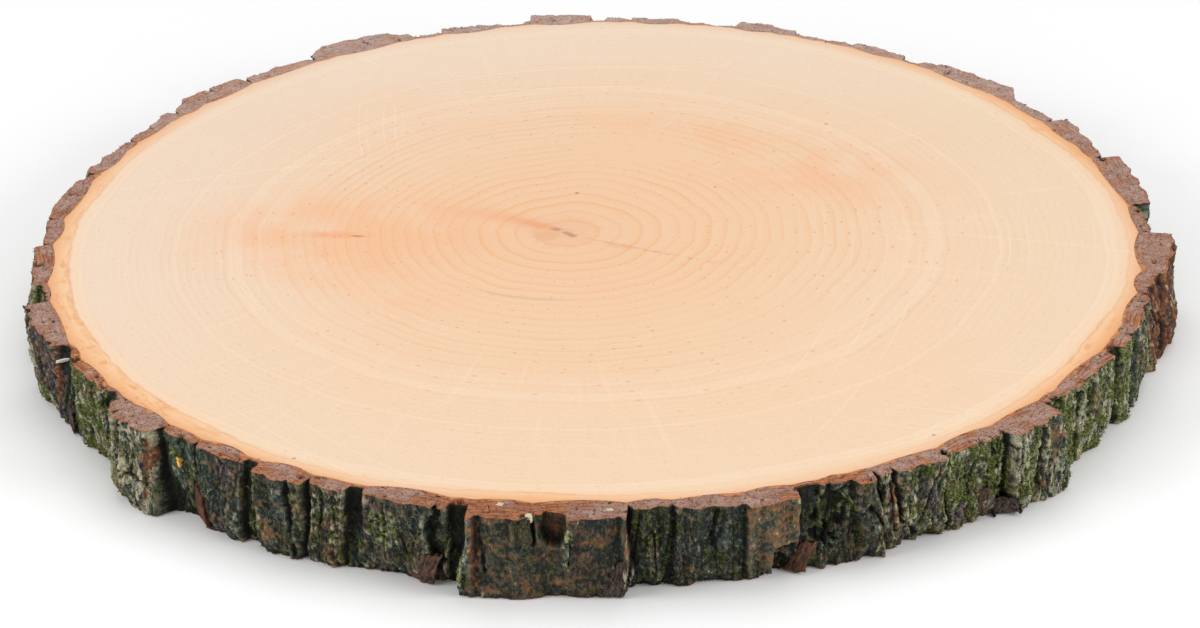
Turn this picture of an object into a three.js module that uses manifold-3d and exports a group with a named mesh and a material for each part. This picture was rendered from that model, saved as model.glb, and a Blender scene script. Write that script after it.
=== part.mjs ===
// A round wood slice: one sawn disc of a trunk with its bark left on, lying flat.
// Sizes are in millimetres, +Z is up, and angles are degrees counter-clockwise from +X, seen from above.
import * as THREE from "three";
import { mergeVertices } from "three/addons/utils/BufferGeometryUtils.js";
import Module from "manifold-3d";

const thickness = 24;
const woodRadius = 156.4; // mean radius at which the bark begins
// How the trunk departs from a circle: waves around it, their height, and the direction of a crest.
const trunkWaves = [
  [1, 0.8, 12],
  [2, 2.9, 52],
  [3, 1.1, -30],
];
const seam = 0.36; // gap left between the wood and the bark
const thinnestBark = 1.6;
const scallopDepth = [0.9, 2.3]; // how far a plate's middle bites into the wood, least and most
const scallopFullWidth = 6; // plates narrower than this many degrees bite in less

// Each bark plate in turn, counter-clockwise from the crack beside +X:
// [angle where it ends, outer radius at its first edge and at its last,
//  how much further out its foot stands than its top, depth of the crack after it,
//  and where it leans, how many degrees on its last edge ends up at the foot]
const plates = [
  [6.2, 160.3, 159.2, 3, 5],
  [18.3, 163.8, 166.8, 0.8, 2.5],
  [21.7, 161.8, 162.4, 0.8, 0],
  [28.8, 163.2, 166.8, 0, 5.5],
  [35.5, 162, 161.6, 0.5, 0],
  [38.3, 161.6, 168.4, 0, 0],
  [47.9, 167.6, 165.6, 0, 0],
  [49.9, 164.2, 163.6, -1, 4],
  [52.1, 159.6, 158.9, 1, 0],
  [58.8, 163.8, 164.4, 0, 0],
  [62.3, 162.4, 161.6, 1, 3],
  [66.2, 162.2, 162.6, 0, 0],
  [69.2, 164.8, 165.4, 0.5, 0],
  [73.6, 166.6, 166.4, 0, 5],
  [74.8, 162.2, 161, 0, 0],
  [77, 160, 159.8, 1, 0],
  [80.2, 161.8, 162.4, 0, 0],
  [85.8, 163.8, 163, 0.5, 0],
  [88.8, 161, 163, 0, 0],
  [90.5, 159.6, 159.6, 0.5, 0],
  [97.6, 164.3, 166.4, 0, 0],
  [98.8, 161.4, 160.4, 0, 3.5],
  [101.3, 158, 157.8, 1.5, 0],
  [108.7, 160.3, 161.3, 0, 3],
  [112.3, 157.6, 158, 1, 3.5],
  [114.4, 160.3, 162.6, 0, 0],
  [123, 164, 164.4, 0, 0],
  [125.8, 164, 157.2, 1, 2],
  [135.5, 157, 157.6, 1, 4],
  [143.8, 159.8, 160.3, 0, 0],
  [147.7, 161.2, 154.8, 1, 0],
  [149.9, 157.5, 156.6, 0, 0],
  [156.3, 156.2, 155.8, 0.5, 2.5],
  [158.8, 156.4, 155.6, 0, 0],
  [165.6, 156, 158, 0.6, 4.5],
  [167.4, 156.2, 156.3, 1, 0],
  [177.4, 158.2, 159.3, 0, 2],
  [183.6, 159.4, 158.4, 0, 4],
  [192.8, 160.4, 161, 3, 0],
  [196.9, 158.6, 158.8, 3.5, 0],
  [206.4, 165, 164.2, -1, 0, -3],
  [210.2, 159.8, 160, 1, 0],
  [216.6, 162, 162.3, -1.5, 0],
  [219.2, 161.2, 161.4, 0.5, 0],
  [221.1, 163.6, 167.4, 0.5, 3],
  [226.5, 168, 166.2, 0.8, 4.5],
  [231, 162.6, 163, -3, 3, 0.8],
  [236.6, 163.2, 162.4, 1.2, 0],
  [238.1, 160.2, 160.3, 0, 0],
  [243.5, 164.6, 164.2, -2, 3],
  [247.2, 162.6, 163, -2, 0],
  [248.8, 159.6, 159.8, -0.8, 0],
  [257, 161.8, 162.8, -2.4, 0],
  [258.9, 160.2, 160, -1.5, 0, -0.4],
  [264.4, 167.2, 164.2, -1.8, 2.5],
  [273, 163.6, 164.6, -2, 4.5, 0.6],
  [277.1, 159.2, 158.4, -2, 1],
  [283.6, 159.6, 160.5, -2.2, 0],
  [288.6, 163, 161.8, -3.5, 0],
  [291.1, 156.4, 156.2, 2, 0],
  [294.3, 157.8, 157.6, 1, 0],
  [296.5, 161, 161.6, -1, 4.5, 2],
  [304.2, 159.4, 160.8, -2.5, 4],
  [311.2, 158.9, 159.8, -1, 1.5],
  [318.4, 163, 163.8, 0.8, 4.5, 1.2],
  [320.8, 157.8, 157.8, 2, 0],
  [331.2, 158.6, 159.9, 0.2, 3],
  [333, 157.8, 158, 0.3, 0],
  [335.6, 160, 160.2, 0.5, 0],
  [337.4, 159.4, 160, 0, 0],
  [345, 160.6, 159.6, 0.8, 3],
  [350.2, 158.4, 161.4, 3, 0, -3],
  [359.4, 163.4, 166.2, 2.3, 5.5],
];
const crackWidth = 0.75; // degrees
const wallWidth = 0.26; // degrees that a plain step between two plates takes
const columnPitch = 1.5; // greatest step between columns across a plate, degrees
const rows = 8; // bands of facets between the two sawn faces
const ridgeHeight = 0.75; // vertical ribs on a plate's face
const ridgePitch = 2.6; // degrees
const buckle = 0.55; // how much a plate's face swells and sinks on its way down
const lean = 0.7; // most degrees that a crack strays on its way down

// Pieces broken out of the bark: [angle, middle height, width, height, depth]
const chips = [
  [266.2, 21.4, 7.6, 6.4, 3.4],
  [255.4, 3.4, 5.6, 9, 2.6],
  [232.4, 5.2, 4.4, 9, 2.4],
  [287.6, 4.6, 6, 9.4, 3.2],
  [207.8, 13, 8, 12, 2.4],
  [342.5, 20.5, 9, 5, 2.2],
  [100, 4, 10, 6, 2],
  [36.6, 16, 6, 8, 2.2],
];
const chipOverlap = 4; // how far a cutter stands out past the bark

const woodColour = 0xf3d6b1;
const barkColour = 0x5b4d42;

// Seeded draws from 0 to 1, the same on every run.
function drawer(seed) {
  let state = seed;
  return () => {
    state = (state + 0x6d2b79f5) | 0;
    let t = Math.imul(state ^ (state >>> 15), 1 | state);
    t = (t + Math.imul(t ^ (t >>> 7), 61 | t)) ^ t;
    return ((t ^ (t >>> 14)) >>> 0) / 4294967296;
  };
}

const radians = THREE.MathUtils.degToRad;
const between = THREE.MathUtils.lerp;

function trunkRadius(angle) {
  return trunkWaves.reduce(
    (sum, [waves, height, crest]) =>
      sum + height * Math.cos(waves * radians(angle - crest)),
    woodRadius,
  );
}

// The plates with the seeded traits that the table leaves out.
function describePlates() {
  const draw = drawer(7);
  return plates.map(([end, from, to, foot, crack, slant = 0], k) => {
    const start = k ? plates[k - 1][0] : plates.at(-1)[0] - 360;
    const bite = between(...scallopDepth, draw());
    return {
      start,
      end,
      from,
      to,
      foot,
      crack,
      bite: bite * Math.min(1, (end - start) / scallopFullWidth),
      ribPhase: draw() * Math.PI * 2,
      bucklePhase: draw() * Math.PI * 2,
      endLean: slant + (draw() - 0.5) * 2 * lean,
      endSway: draw() * Math.PI * 2,
    };
  });
}

// Radius where the bark begins, share being how far across the plate the point is.
function innerRadius(plate, share) {
  const angle = between(plate.start, plate.end, share);
  return trunkRadius(angle) - plate.bite * (1 - (2 * share - 1) ** 2);
}

// A plate's last edge strays sideways on its way down.
function edgeShift(plate, height) {
  const down = 1 - height / thickness;
  return plate.endLean * down + 0.3 * down * Math.sin(height / 4 + plate.endSway);
}

// Radius of a plate's outer face.
function faceRadius(plate, share, height) {
  const down = 1 - height / thickness;
  const width = plate.end - plate.start;
  const across = share * width;
  const inField = Math.sin(Math.PI * share);
  const ribs = Math.sin((across / ridgePitch) * 2 * Math.PI + plate.ribPhase + height / 9);
  const swell = Math.sin(height / 3.7 + plate.bucklePhase + across / 3);
  return (
    between(plate.from, plate.to, share) +
    plate.foot * down ** 1.3 +
    inField * (ridgeHeight * ribs + buckle * swell)
  );
}

// Columns of points down the bark, each { angle, inner, place(height) }.
function barkColumns() {
  const all = describePlates();
  const columns = [];
  all.forEach((plate, k) => {
    const before = all.at(k - 1);
    const next = all[(k + 1) % all.length];
    const gapBefore = (before.crack ? crackWidth : wallWidth) / 2;
    const gapAfter = (plate.crack ? crackWidth : wallWidth) / 2;
    const width = plate.end - plate.start;
    const steps = Math.max(1, Math.ceil((width - gapBefore - gapAfter) / columnPitch));
    const add = (share, radiusAt) =>
      columns.push({
        angle: between(plate.start, plate.end, share),
        inner: innerRadius(plate, share),
        place: (height) => ({
          angle:
            between(plate.start, plate.end, share) +
            between(edgeShift(before, height), edgeShift(plate, height), share),
          radius: Math.max(radiusAt(height), innerRadius(plate, share) + thinnestBark),
        }),
      });
    for (let step = 0; step <= steps; step++) {
      const share = between(gapBefore, width - gapAfter, step / steps) / width;
      add(share, (height) => faceRadius(plate, share, height));
    }
    if (plate.crack)
      add(1, (height) => {
        const floor = Math.min(faceRadius(plate, 1, height), faceRadius(next, 0, height));
        return floor - plate.crack;
      });
  });
  return columns;
}

// A closed geometry as a manifold-3d solid, and back.
function solidOf(wasm, geometry) {
  const bare = geometry.clone();
  bare.deleteAttribute("normal");
  bare.deleteAttribute("uv");
  const merged = mergeVertices(bare, 1e-4);
  return new wasm.Manifold(
    new wasm.Mesh({
      numProp: 3,
      vertProperties: merged.attributes.position.array,
      triVerts: new Uint32Array(merged.index.array),
    }),
  );
}

function geometryOf(solid) {
  const mesh = solid.getMesh();
  const geometry = new THREE.BufferGeometry();
  geometry.setAttribute("position", new THREE.BufferAttribute(mesh.vertProperties, 3));
  geometry.setIndex(new THREE.BufferAttribute(mesh.triVerts, 1));
  geometry.computeVertexNormals();
  return geometry;
}

// The outline that the wood and the bark share, moved outwards by offset and extruded.
function discGeometry(columns, offset, low, high) {
  const outline = columns.map(({ angle, inner }) => {
    const radius = inner + offset;
    return new THREE.Vector2(
      radius * Math.cos(radians(angle)),
      radius * Math.sin(radians(angle)),
    );
  });
  return new THREE.ExtrudeGeometry(new THREE.Shape(outline), {
    depth: high - low,
    bevelEnabled: false,
  }).translate(0, 0, low);
}

// The whole trunk slice with the bark's relief: a lathe whose columns are moved onto the plates.
function trunkGeometry(columns) {
  const heights = Array.from({ length: rows + 1 }, (_, row) => (row / rows) * thickness);
  const profile = [
    new THREE.Vector2(0, 0),
    ...heights.map((height) => new THREE.Vector2(woodRadius, height)),
    new THREE.Vector2(0, thickness),
  ];
  const geometry = new THREE.LatheGeometry(profile, columns.length);
  const position = geometry.attributes.position;
  for (let i = 0; i < position.count; i++) {
    const column = columns[Math.floor(i / profile.length) % columns.length];
    const point = profile[i % profile.length];
    if (point.x === 0) {
      position.setXYZ(i, 0, 0, point.y);
    } else {
      const { angle, radius } = column.place(point.y);
      const turn = radians(angle);
      position.setXYZ(i, radius * Math.cos(turn), radius * Math.sin(turn), point.y);
    }
  }
  return geometry;
}

// A wedge of bark to break out, centred on the bark's face there.
function chipGeometry([angle, middle, width, height, depth], radius) {
  const cutter = new THREE.BoxGeometry(depth + chipOverlap, width, height);
  cutter.rotateX(radians(6));
  cutter.translate(radius - depth + (depth + chipOverlap) / 2, 0, middle);
  return cutter.rotateZ(radians(angle));
}

function faceAt(columns, angle, height) {
  const away = (column) => Math.abs(column.angle - angle);
  const near = columns.filter((column) => away(column) < 1.6);
  return Math.max(...near.map((column) => column.place(height).radius));
}

const wasm = await Module();
wasm.setup();

const columns = barkColumns();
const trunk = solidOf(wasm, trunkGeometry(columns));
const hole = solidOf(wasm, discGeometry(columns, seam / 2, -1, thickness + 1));
const barkSolid = chips.reduce(
  (solid, chip) =>
    solid.subtract(solidOf(wasm, chipGeometry(chip, faceAt(columns, chip[0], chip[1])))),
  trunk.subtract(hole),
);

const wood = new THREE.Mesh(
  discGeometry(columns, -seam / 2, 0, thickness),
  new THREE.MeshStandardMaterial({ color: woodColour, roughness: 0.62, metalness: 0 }),
);
wood.name = "wood";

const bark = new THREE.Mesh(
  geometryOf(barkSolid),
  new THREE.MeshStandardMaterial({ color: barkColour, roughness: 0.9, metalness: 0 }),
);
bark.name = "bark";

// The origin is under the middle of the slice's outline, on the face that it lies on.
const slice = new THREE.Group();
slice.add(wood, bark);
const middle = new THREE.Box3().setFromObject(slice).getCenter(new THREE.Vector3());
slice.position.set(-middle.x, -middle.y, 0);

export default slice;
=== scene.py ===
import random
from math import atan2, cos, pi, radians, sin

import bpy
import numpy as np
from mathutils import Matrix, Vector, noise
from mathutils.bvhtree import BVHTree


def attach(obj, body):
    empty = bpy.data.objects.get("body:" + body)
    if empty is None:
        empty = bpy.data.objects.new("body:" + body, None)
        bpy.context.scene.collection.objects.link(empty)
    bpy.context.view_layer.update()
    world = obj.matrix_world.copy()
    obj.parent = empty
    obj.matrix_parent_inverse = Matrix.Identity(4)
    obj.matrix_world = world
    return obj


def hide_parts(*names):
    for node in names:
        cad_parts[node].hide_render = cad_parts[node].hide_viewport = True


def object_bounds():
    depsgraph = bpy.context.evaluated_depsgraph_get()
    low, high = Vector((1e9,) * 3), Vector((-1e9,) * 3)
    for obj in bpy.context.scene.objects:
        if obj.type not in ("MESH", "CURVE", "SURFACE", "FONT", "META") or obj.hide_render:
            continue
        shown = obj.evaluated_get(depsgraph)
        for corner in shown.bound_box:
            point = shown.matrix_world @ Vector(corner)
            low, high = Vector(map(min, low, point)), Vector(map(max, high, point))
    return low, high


# A wood slice with its bark on, lying on a pale floor. Lengths in the dictionaries are millimetres,
# angles are degrees counter-clockwise from +X, counted round the trunk's middle.
mm = 0.001
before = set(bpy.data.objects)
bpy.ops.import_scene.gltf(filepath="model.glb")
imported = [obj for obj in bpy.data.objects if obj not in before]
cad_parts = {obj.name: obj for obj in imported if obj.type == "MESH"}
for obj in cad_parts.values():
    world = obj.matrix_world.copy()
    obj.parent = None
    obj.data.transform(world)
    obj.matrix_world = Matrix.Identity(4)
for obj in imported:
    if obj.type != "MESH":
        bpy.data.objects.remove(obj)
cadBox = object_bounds()

trunkSpot = (-2.802, -0.292)  # the trunk's middle
pithSpot = (-12.1, -2.0)
sliceTop = 24.0
woodRadius = 155.0  # about where the wood ends
barkRadius = 162.0  # about the middle of the bark's faces
boxLow, boxHigh = (np.array(corner) / mm for corner in cadBox)


# Helpers for shaders
class Wire:
    # one shader socket, so that sums and products of sockets read as plain Python
    def __init__(self, finish, socket):
        self.finish = finish
        self.socket = socket

    def maths(self, operation, *others):
        return self.finish.node(
            "Math", {"operation": operation}, dict(enumerate([self, *others]))
        )

    def __add__(self, other):
        return self.maths("ADD", other)

    def __sub__(self, other):
        return self.maths("SUBTRACT", other)

    def __rsub__(self, other):
        return (self * -1.0) + other

    def __mul__(self, other):
        return self.maths("MULTIPLY", other)

    __radd__, __rmul__ = __add__, __mul__

    def clamp(self):
        return self.finish.node("Clamp", {}, {0: self})

    def ramp(self, low, high):
        # 0 at low, 1 at high, smooth between; low may be the greater one
        return self.finish.node(
            "MapRange",
            {"interpolation_type": "SMOOTHSTEP"},
            {"Value": self, "From Min": low, "From Max": high},
        )

    def fraction(self):
        return self.maths("FRACT")

    def whole(self):
        return self.maths("FLOOR")

    def size(self):
        return self.maths("ABSOLUTE")

    def root(self):
        return self.maths("SQRT")


class Finish:
    # a material and the nodes that are put in it
    def __init__(self, name):
        self.material = bpy.data.materials.new(name)
        self.material.use_nodes = True
        self.tree = self.material.node_tree
        self.tree.nodes.clear()

    def node(self, kind, settings, sockets, out=0):
        made = self.tree.nodes.new("ShaderNode" + kind)
        for key, value in settings.items():
            setattr(made, key, value)
        for key, value in sockets.items():
            if isinstance(value, Wire):
                self.tree.links.new(value.socket, made.inputs[key])
            else:
                made.inputs[key].default_value = value
        return Wire(self, made.outputs[out]) if made.outputs else None

    def place(self):
        # where a point is on the object, in millimetres
        spot = self.node("TexCoord", {}, {}, "Object")
        return self.node("VectorMath", {"operation": "SCALE"}, {0: spot, "Scale": 1000.0})

    def parts(self, vector):
        outs = self.node("SeparateXYZ", {}, {0: vector}).socket.node.outputs
        return [Wire(self, out) for out in outs]

    def vector(self, x, y, z):
        return self.node("CombineXYZ", {}, {0: x, 1: y, 2: z})

    def stretch(self, vector, x, y, z):
        return self.node("VectorMath", {"operation": "MULTIPLY"}, {0: vector, 1: (x, y, z)})

    def cloud(self, vector, scale, detail=2.0, rough=0.5, flat=True):
        return self.node(
            "TexNoise",
            {"noise_dimensions": "2D" if flat else "3D"},
            {"Vector": vector, "Scale": scale, "Detail": detail, "Roughness": rough},
        )

    def stripes(self, value, scale, detail=2.0):
        return self.node(
            "TexNoise", {"noise_dimensions": "1D"}, {"W": value, "Scale": scale, "Detail": detail}
        )

    def cells(self, vector, scale, flat=True):
        # distance to the nearest of many scattered seeds, and two draws that belong to that seed
        away = self.node(
            "TexVoronoi",
            {"voronoi_dimensions": "2D" if flat else "3D"},
            {"Vector": vector, "Scale": scale},
        )
        draws = self.parts(Wire(self, away.socket.node.outputs["Color"]))
        return away, draws[0], draws[1]

    def dice(self, value):
        return self.node("TexWhiteNoise", {"noise_dimensions": "1D"}, {"W": value})

    def worn(self, name):
        return self.node("Attribute", {"attribute_name": name}, {}, "Fac")

    def mix(self, factor, a, b):
        # each of a and b is a wire, or red, green and blue
        a, b = (c if isinstance(c, Wire) else tint(*c) for c in (a, b))
        return self.node("Mix", {"data_type": "RGBA"}, {0: factor, 6: a, 7: b}, 2)

    def close(self, colour, rough, height=None, depth=0.0, specular=0.35, **constants):
        # constants are set on the shader's own sockets
        sockets = {"Base Color": colour, "Roughness": rough, "Specular IOR Level": specular}
        sockets.update(constants)
        if height is not None:
            sockets["Normal"] = self.node(
                "Bump", {}, {"Height": height, "Strength": 1.0, "Distance": depth * mm}
            )
        shader = self.node("BsdfPrincipled", {}, sockets)
        self.node("OutputMaterial", {}, {"Surface": shader})
        return self.material


class Coat:
    # a colour, and what is laid over it
    def __init__(self, finish, colour):
        self.finish = finish
        self.colour = colour

    def over(self, mask, *added):
        # added is a wire, or red, green and blue; it covers as much as the mask says
        self.colour = self.finish.mix(mask, self.colour, added[0] if len(added) == 1 else added)


def tint(red, green, blue):
    # a colour as seen on screen, 0 to 255, for a socket
    def linear(c):
        c = c / 255
        return c / 12.92 if c <= 0.04045 else ((c + 0.055) / 1.055) ** 2.4

    return (linear(red), linear(green), linear(blue), 1.0)


# Helpers for meshes
def clearSelection():
    bpy.ops.object.select_all(action="DESELECT")


def finishPiece(piece, name, material):
    piece.name = name
    piece.data.name = name
    piece.data.materials.clear()
    piece.data.materials.append(material)
    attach(piece, "root")


def wear(mesh, name, values):
    layer = mesh.attributes.new(name, "FLOAT", "POINT")
    layer.data.foreach_set("value", np.asarray(values, dtype=np.float32).ravel())


def treeOf(node):
    mesh = node.data
    corners = [tuple(v.co) for v in mesh.vertices]
    return BVHTree.FromPolygons(corners, [tuple(p.vertices) for p in mesh.polygons])


def fuzz(points, across, along, octaves=3, seed=0.0):
    # soft noise, about -1 to 1: grains are across mm wide round the trunk and along mm tall
    lift = Vector((seed * 17.3, seed * 5.1, seed * 9.7))
    a, b = 1.0 / across, 1.0 / along
    spots = (Vector((x * a, y * a, z * b)) + lift for x, y, z in points)
    return np.array([noise.fractal(spot, 1.0, 2.0, octaves) for spot in spots])


def flaky(points, across, along, seed=0.0):
    # a net of cells: a draw for each cell, how far a point is from its cell's border, and a slope
    # across the cell, each cell leaning its own way
    lift = Vector((seed * 11.9, seed * 3.7, seed * 7.3))
    a, b = 1.0 / across, 1.0 / along
    out = np.empty((len(points), 3))
    for i, (x, y, z) in enumerate(points):
        spot = Vector((x * a, y * a, z * b)) + lift
        away, seeds = noise.voronoi(spot)
        near = seeds[0]
        draw = sin(near.x * 12.9898 + near.y * 78.233 + near.z * 37.719) * 43758.5453 % 1.0
        turn = draw * 40.0
        step = spot - near
        out[i] = draw, away[1] - away[0], step.x * cos(turn) + step.y * cos(turn) + step.z * sin(turn)
    return out[:, 0], out[:, 1], out[:, 2]


def smooth(grid, rowsWide, columnsWide):
    # a soft average over rows (up the face) and columns (round the trunk)
    for axis, wide in ((0, rowsWide), (1, columnsWide)):
        reach = int(3 * wide)
        if reach < 1:
            continue
        weights = np.exp(-0.5 * (np.arange(-reach, reach + 1) / wide) ** 2)
        weights /= weights.sum()
        total = np.zeros_like(grid)
        for step, weight in zip(range(-reach, reach + 1), weights):
            if axis == 0:
                rows = np.clip(np.arange(grid.shape[0]) + step, 0, grid.shape[0] - 1)
                total += weight * grid[rows]
            else:
                total += weight * np.roll(grid, -step, axis=1)
        grid = total
    return grid


def angleFrom(degrees, angle):
    # how far round they are from that angle, -180 to 180
    return (degrees - angle + 180) % 360 - 180


def step01(values, low, high):
    t = np.clip((values - low) / (high - low), 0.0, 1.0)
    return t * t * (3 - 2 * t)


def inBox(spot):
    # the same spot, moved inside the solid's box if it is outside
    limits = zip(spot, boxLow, boxHigh)
    return Vector([min(max(c, (low + 0.06) * mm), (high - 0.01) * mm) for c, low, high in limits])


# Wood
woodDisc = {
    "stations": 900,
    "rings": (0.985, 0.97, 0.95, 0.92, 0.86, 0.76, 0.62, 0.46, 0.3, 0.16, 0.06),
    "sideRows": 4,
    "unit": 0.15,  # the first circle's radius in metres; a ring's share is its radius over this
    "overlap": 0.3,  # how far the visible wood reaches over the seam of the solids
    "trunkWaves": ((1, 0.8, 12), (2, 2.9, 52), (3, 1.1, -30)),  # in a turn, height, a crest's angle
    "trunkRadius": 156.4,
}
# The inner bark, an orange band at the wood's edge: angle, how strong its colour is, its width,
# and how much of it is stained with dark streaks.
innerBark = (
    (0, 0.7, 3.2, 0.2), (25, 1.0, 4.8, 0.4), (48, 0.7, 4.5, 0.2), (70, 0.4, 3.0, 0.1),
    (120, 0.35, 3.0, 0.1), (145, 0.7, 4.5, 0.3), (170, 0.9, 5.5, 0.4), (195, 0.95, 7.0, 0.8),
    (222, 1.0, 7.0, 1.0), (240, 0.8, 5.0, 0.4), (255, 0.6, 4.2, 0.2), (268, 0.95, 5.0, 0.2),
    (285, 0.5, 3.6, 0.1), (305, 0.5, 3.6, 0.2), (322, 0.9, 4.6, 0.4), (338, 1.0, 5.4, 0.6),
    (348, 0.8, 3.6, 0.3),
)


def trunkRadius(angle):
    waves = woodDisc["trunkWaves"]
    return woodDisc["trunkRadius"] + sum(h * cos(n * radians(angle - c)) for n, h, c in waves)


def smoothEdge(angle):
    # how far from the pith the trunk's smooth outline lies, that way
    turn = radians(angle)
    px = pithSpot[0] - trunkSpot[0]
    py = pithSpot[1] - trunkSpot[1]
    reach = 150.0
    for _ in range(6):
        x, y = px + reach * cos(turn), py + reach * sin(turn)
        reach += trunkRadius(atan2(y, x) * 180 / pi) - (x * x + y * y) ** 0.5
    return reach


def makeWood():
    tree = treeOf(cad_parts["wood"])
    px, py = pithSpot[0] * mm, pithSpot[1] * mm
    unit, sideRows = woodDisc["unit"], woodDisc["sideRows"]
    clearSelection()
    bpy.ops.mesh.primitive_circle_add(
        vertices=woodDisc["stations"], radius=unit, fill_type="NOTHING",
        location=(px, py, sliceTop * mm),
    )
    piece = bpy.context.object
    bpy.ops.object.transform_apply(location=True, rotation=False, scale=False)
    bpy.ops.object.mode_set(mode="EDIT")
    bpy.ops.mesh.select_mode(type="VERT")

    def ringsInward(level):
        last = 1.0
        centre = (px, py, level * mm)
        for share in woodDisc["rings"]:
            bpy.ops.mesh.extrude_edges_move()
            k = share / last
            bpy.ops.transform.resize(value=(k, k, 1.0), center_override=centre)
            last = share
        bpy.ops.mesh.extrude_edges_move()
        bpy.ops.mesh.merge(type="CENTER")

    bpy.ops.mesh.select_all(action="SELECT")
    ringsInward(sliceTop)
    # the outer ring again, drawn down to the underside
    bpy.ops.mesh.select_all(action="DESELECT")
    bpy.ops.object.mode_set(mode="OBJECT")
    for vertex in piece.data.vertices:
        away = ((vertex.co.x - px) ** 2 + (vertex.co.y - py) ** 2) ** 0.5
        vertex.select = away > unit * 0.995
    bpy.ops.object.mode_set(mode="EDIT")
    for _ in range(sideRows):
        bpy.ops.mesh.extrude_edges_move(
            TRANSFORM_OT_translate={"value": (0, 0, -sliceTop * mm / sideRows)}
        )
    ringsInward(0.0)
    bpy.ops.mesh.select_all(action="SELECT")
    bpy.ops.mesh.normals_make_consistent(inside=False)
    bpy.ops.object.mode_set(mode="OBJECT")

    mesh = piece.data
    spots = np.empty(len(mesh.vertices) * 3)
    mesh.vertices.foreach_get("co", spots)
    spots = spots.reshape(-1, 3)
    edges = {}
    growth = np.zeros(len(spots))
    for i, (x, y, _) in enumerate(spots):
        share = ((x - px) ** 2 + (y - py) ** 2) ** 0.5 / unit
        if share < 1e-4:
            spots[i, :2] = px, py
            continue
        turn = atan2(y - py, x - px)
        key = round(turn * 1e5)
        if key not in edges:
            way = Vector((cos(turn), sin(turn), 0))
            hit = tree.ray_cast(Vector((px, py, 0.5 * sliceTop * mm)), way)
            edges[key] = (hit[3] + woodDisc["overlap"] * mm, smoothEdge(turn * 180 / pi) * mm)
        edge, plain = edges[key]
        spots[i, :2] = px + share * edge * cos(turn), py + share * edge * sin(turn)
        growth[i] = share * edge / plain
    mesh.vertices.foreach_set("co", spots.ravel())
    mesh.update()
    wear(mesh, "growth", growth)
    turns = np.degrees(np.arctan2(spots[:, 1] - py, spots[:, 0] - px)) % 360
    angles = [row[0] for row in innerBark]
    for k, name in ((1, "bandStrength"), (2, "bandWidth"), (3, "bandStain")):
        wear(mesh, name, np.interp(turns, angles, [row[k] for row in innerBark], period=360))
    return piece


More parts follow.
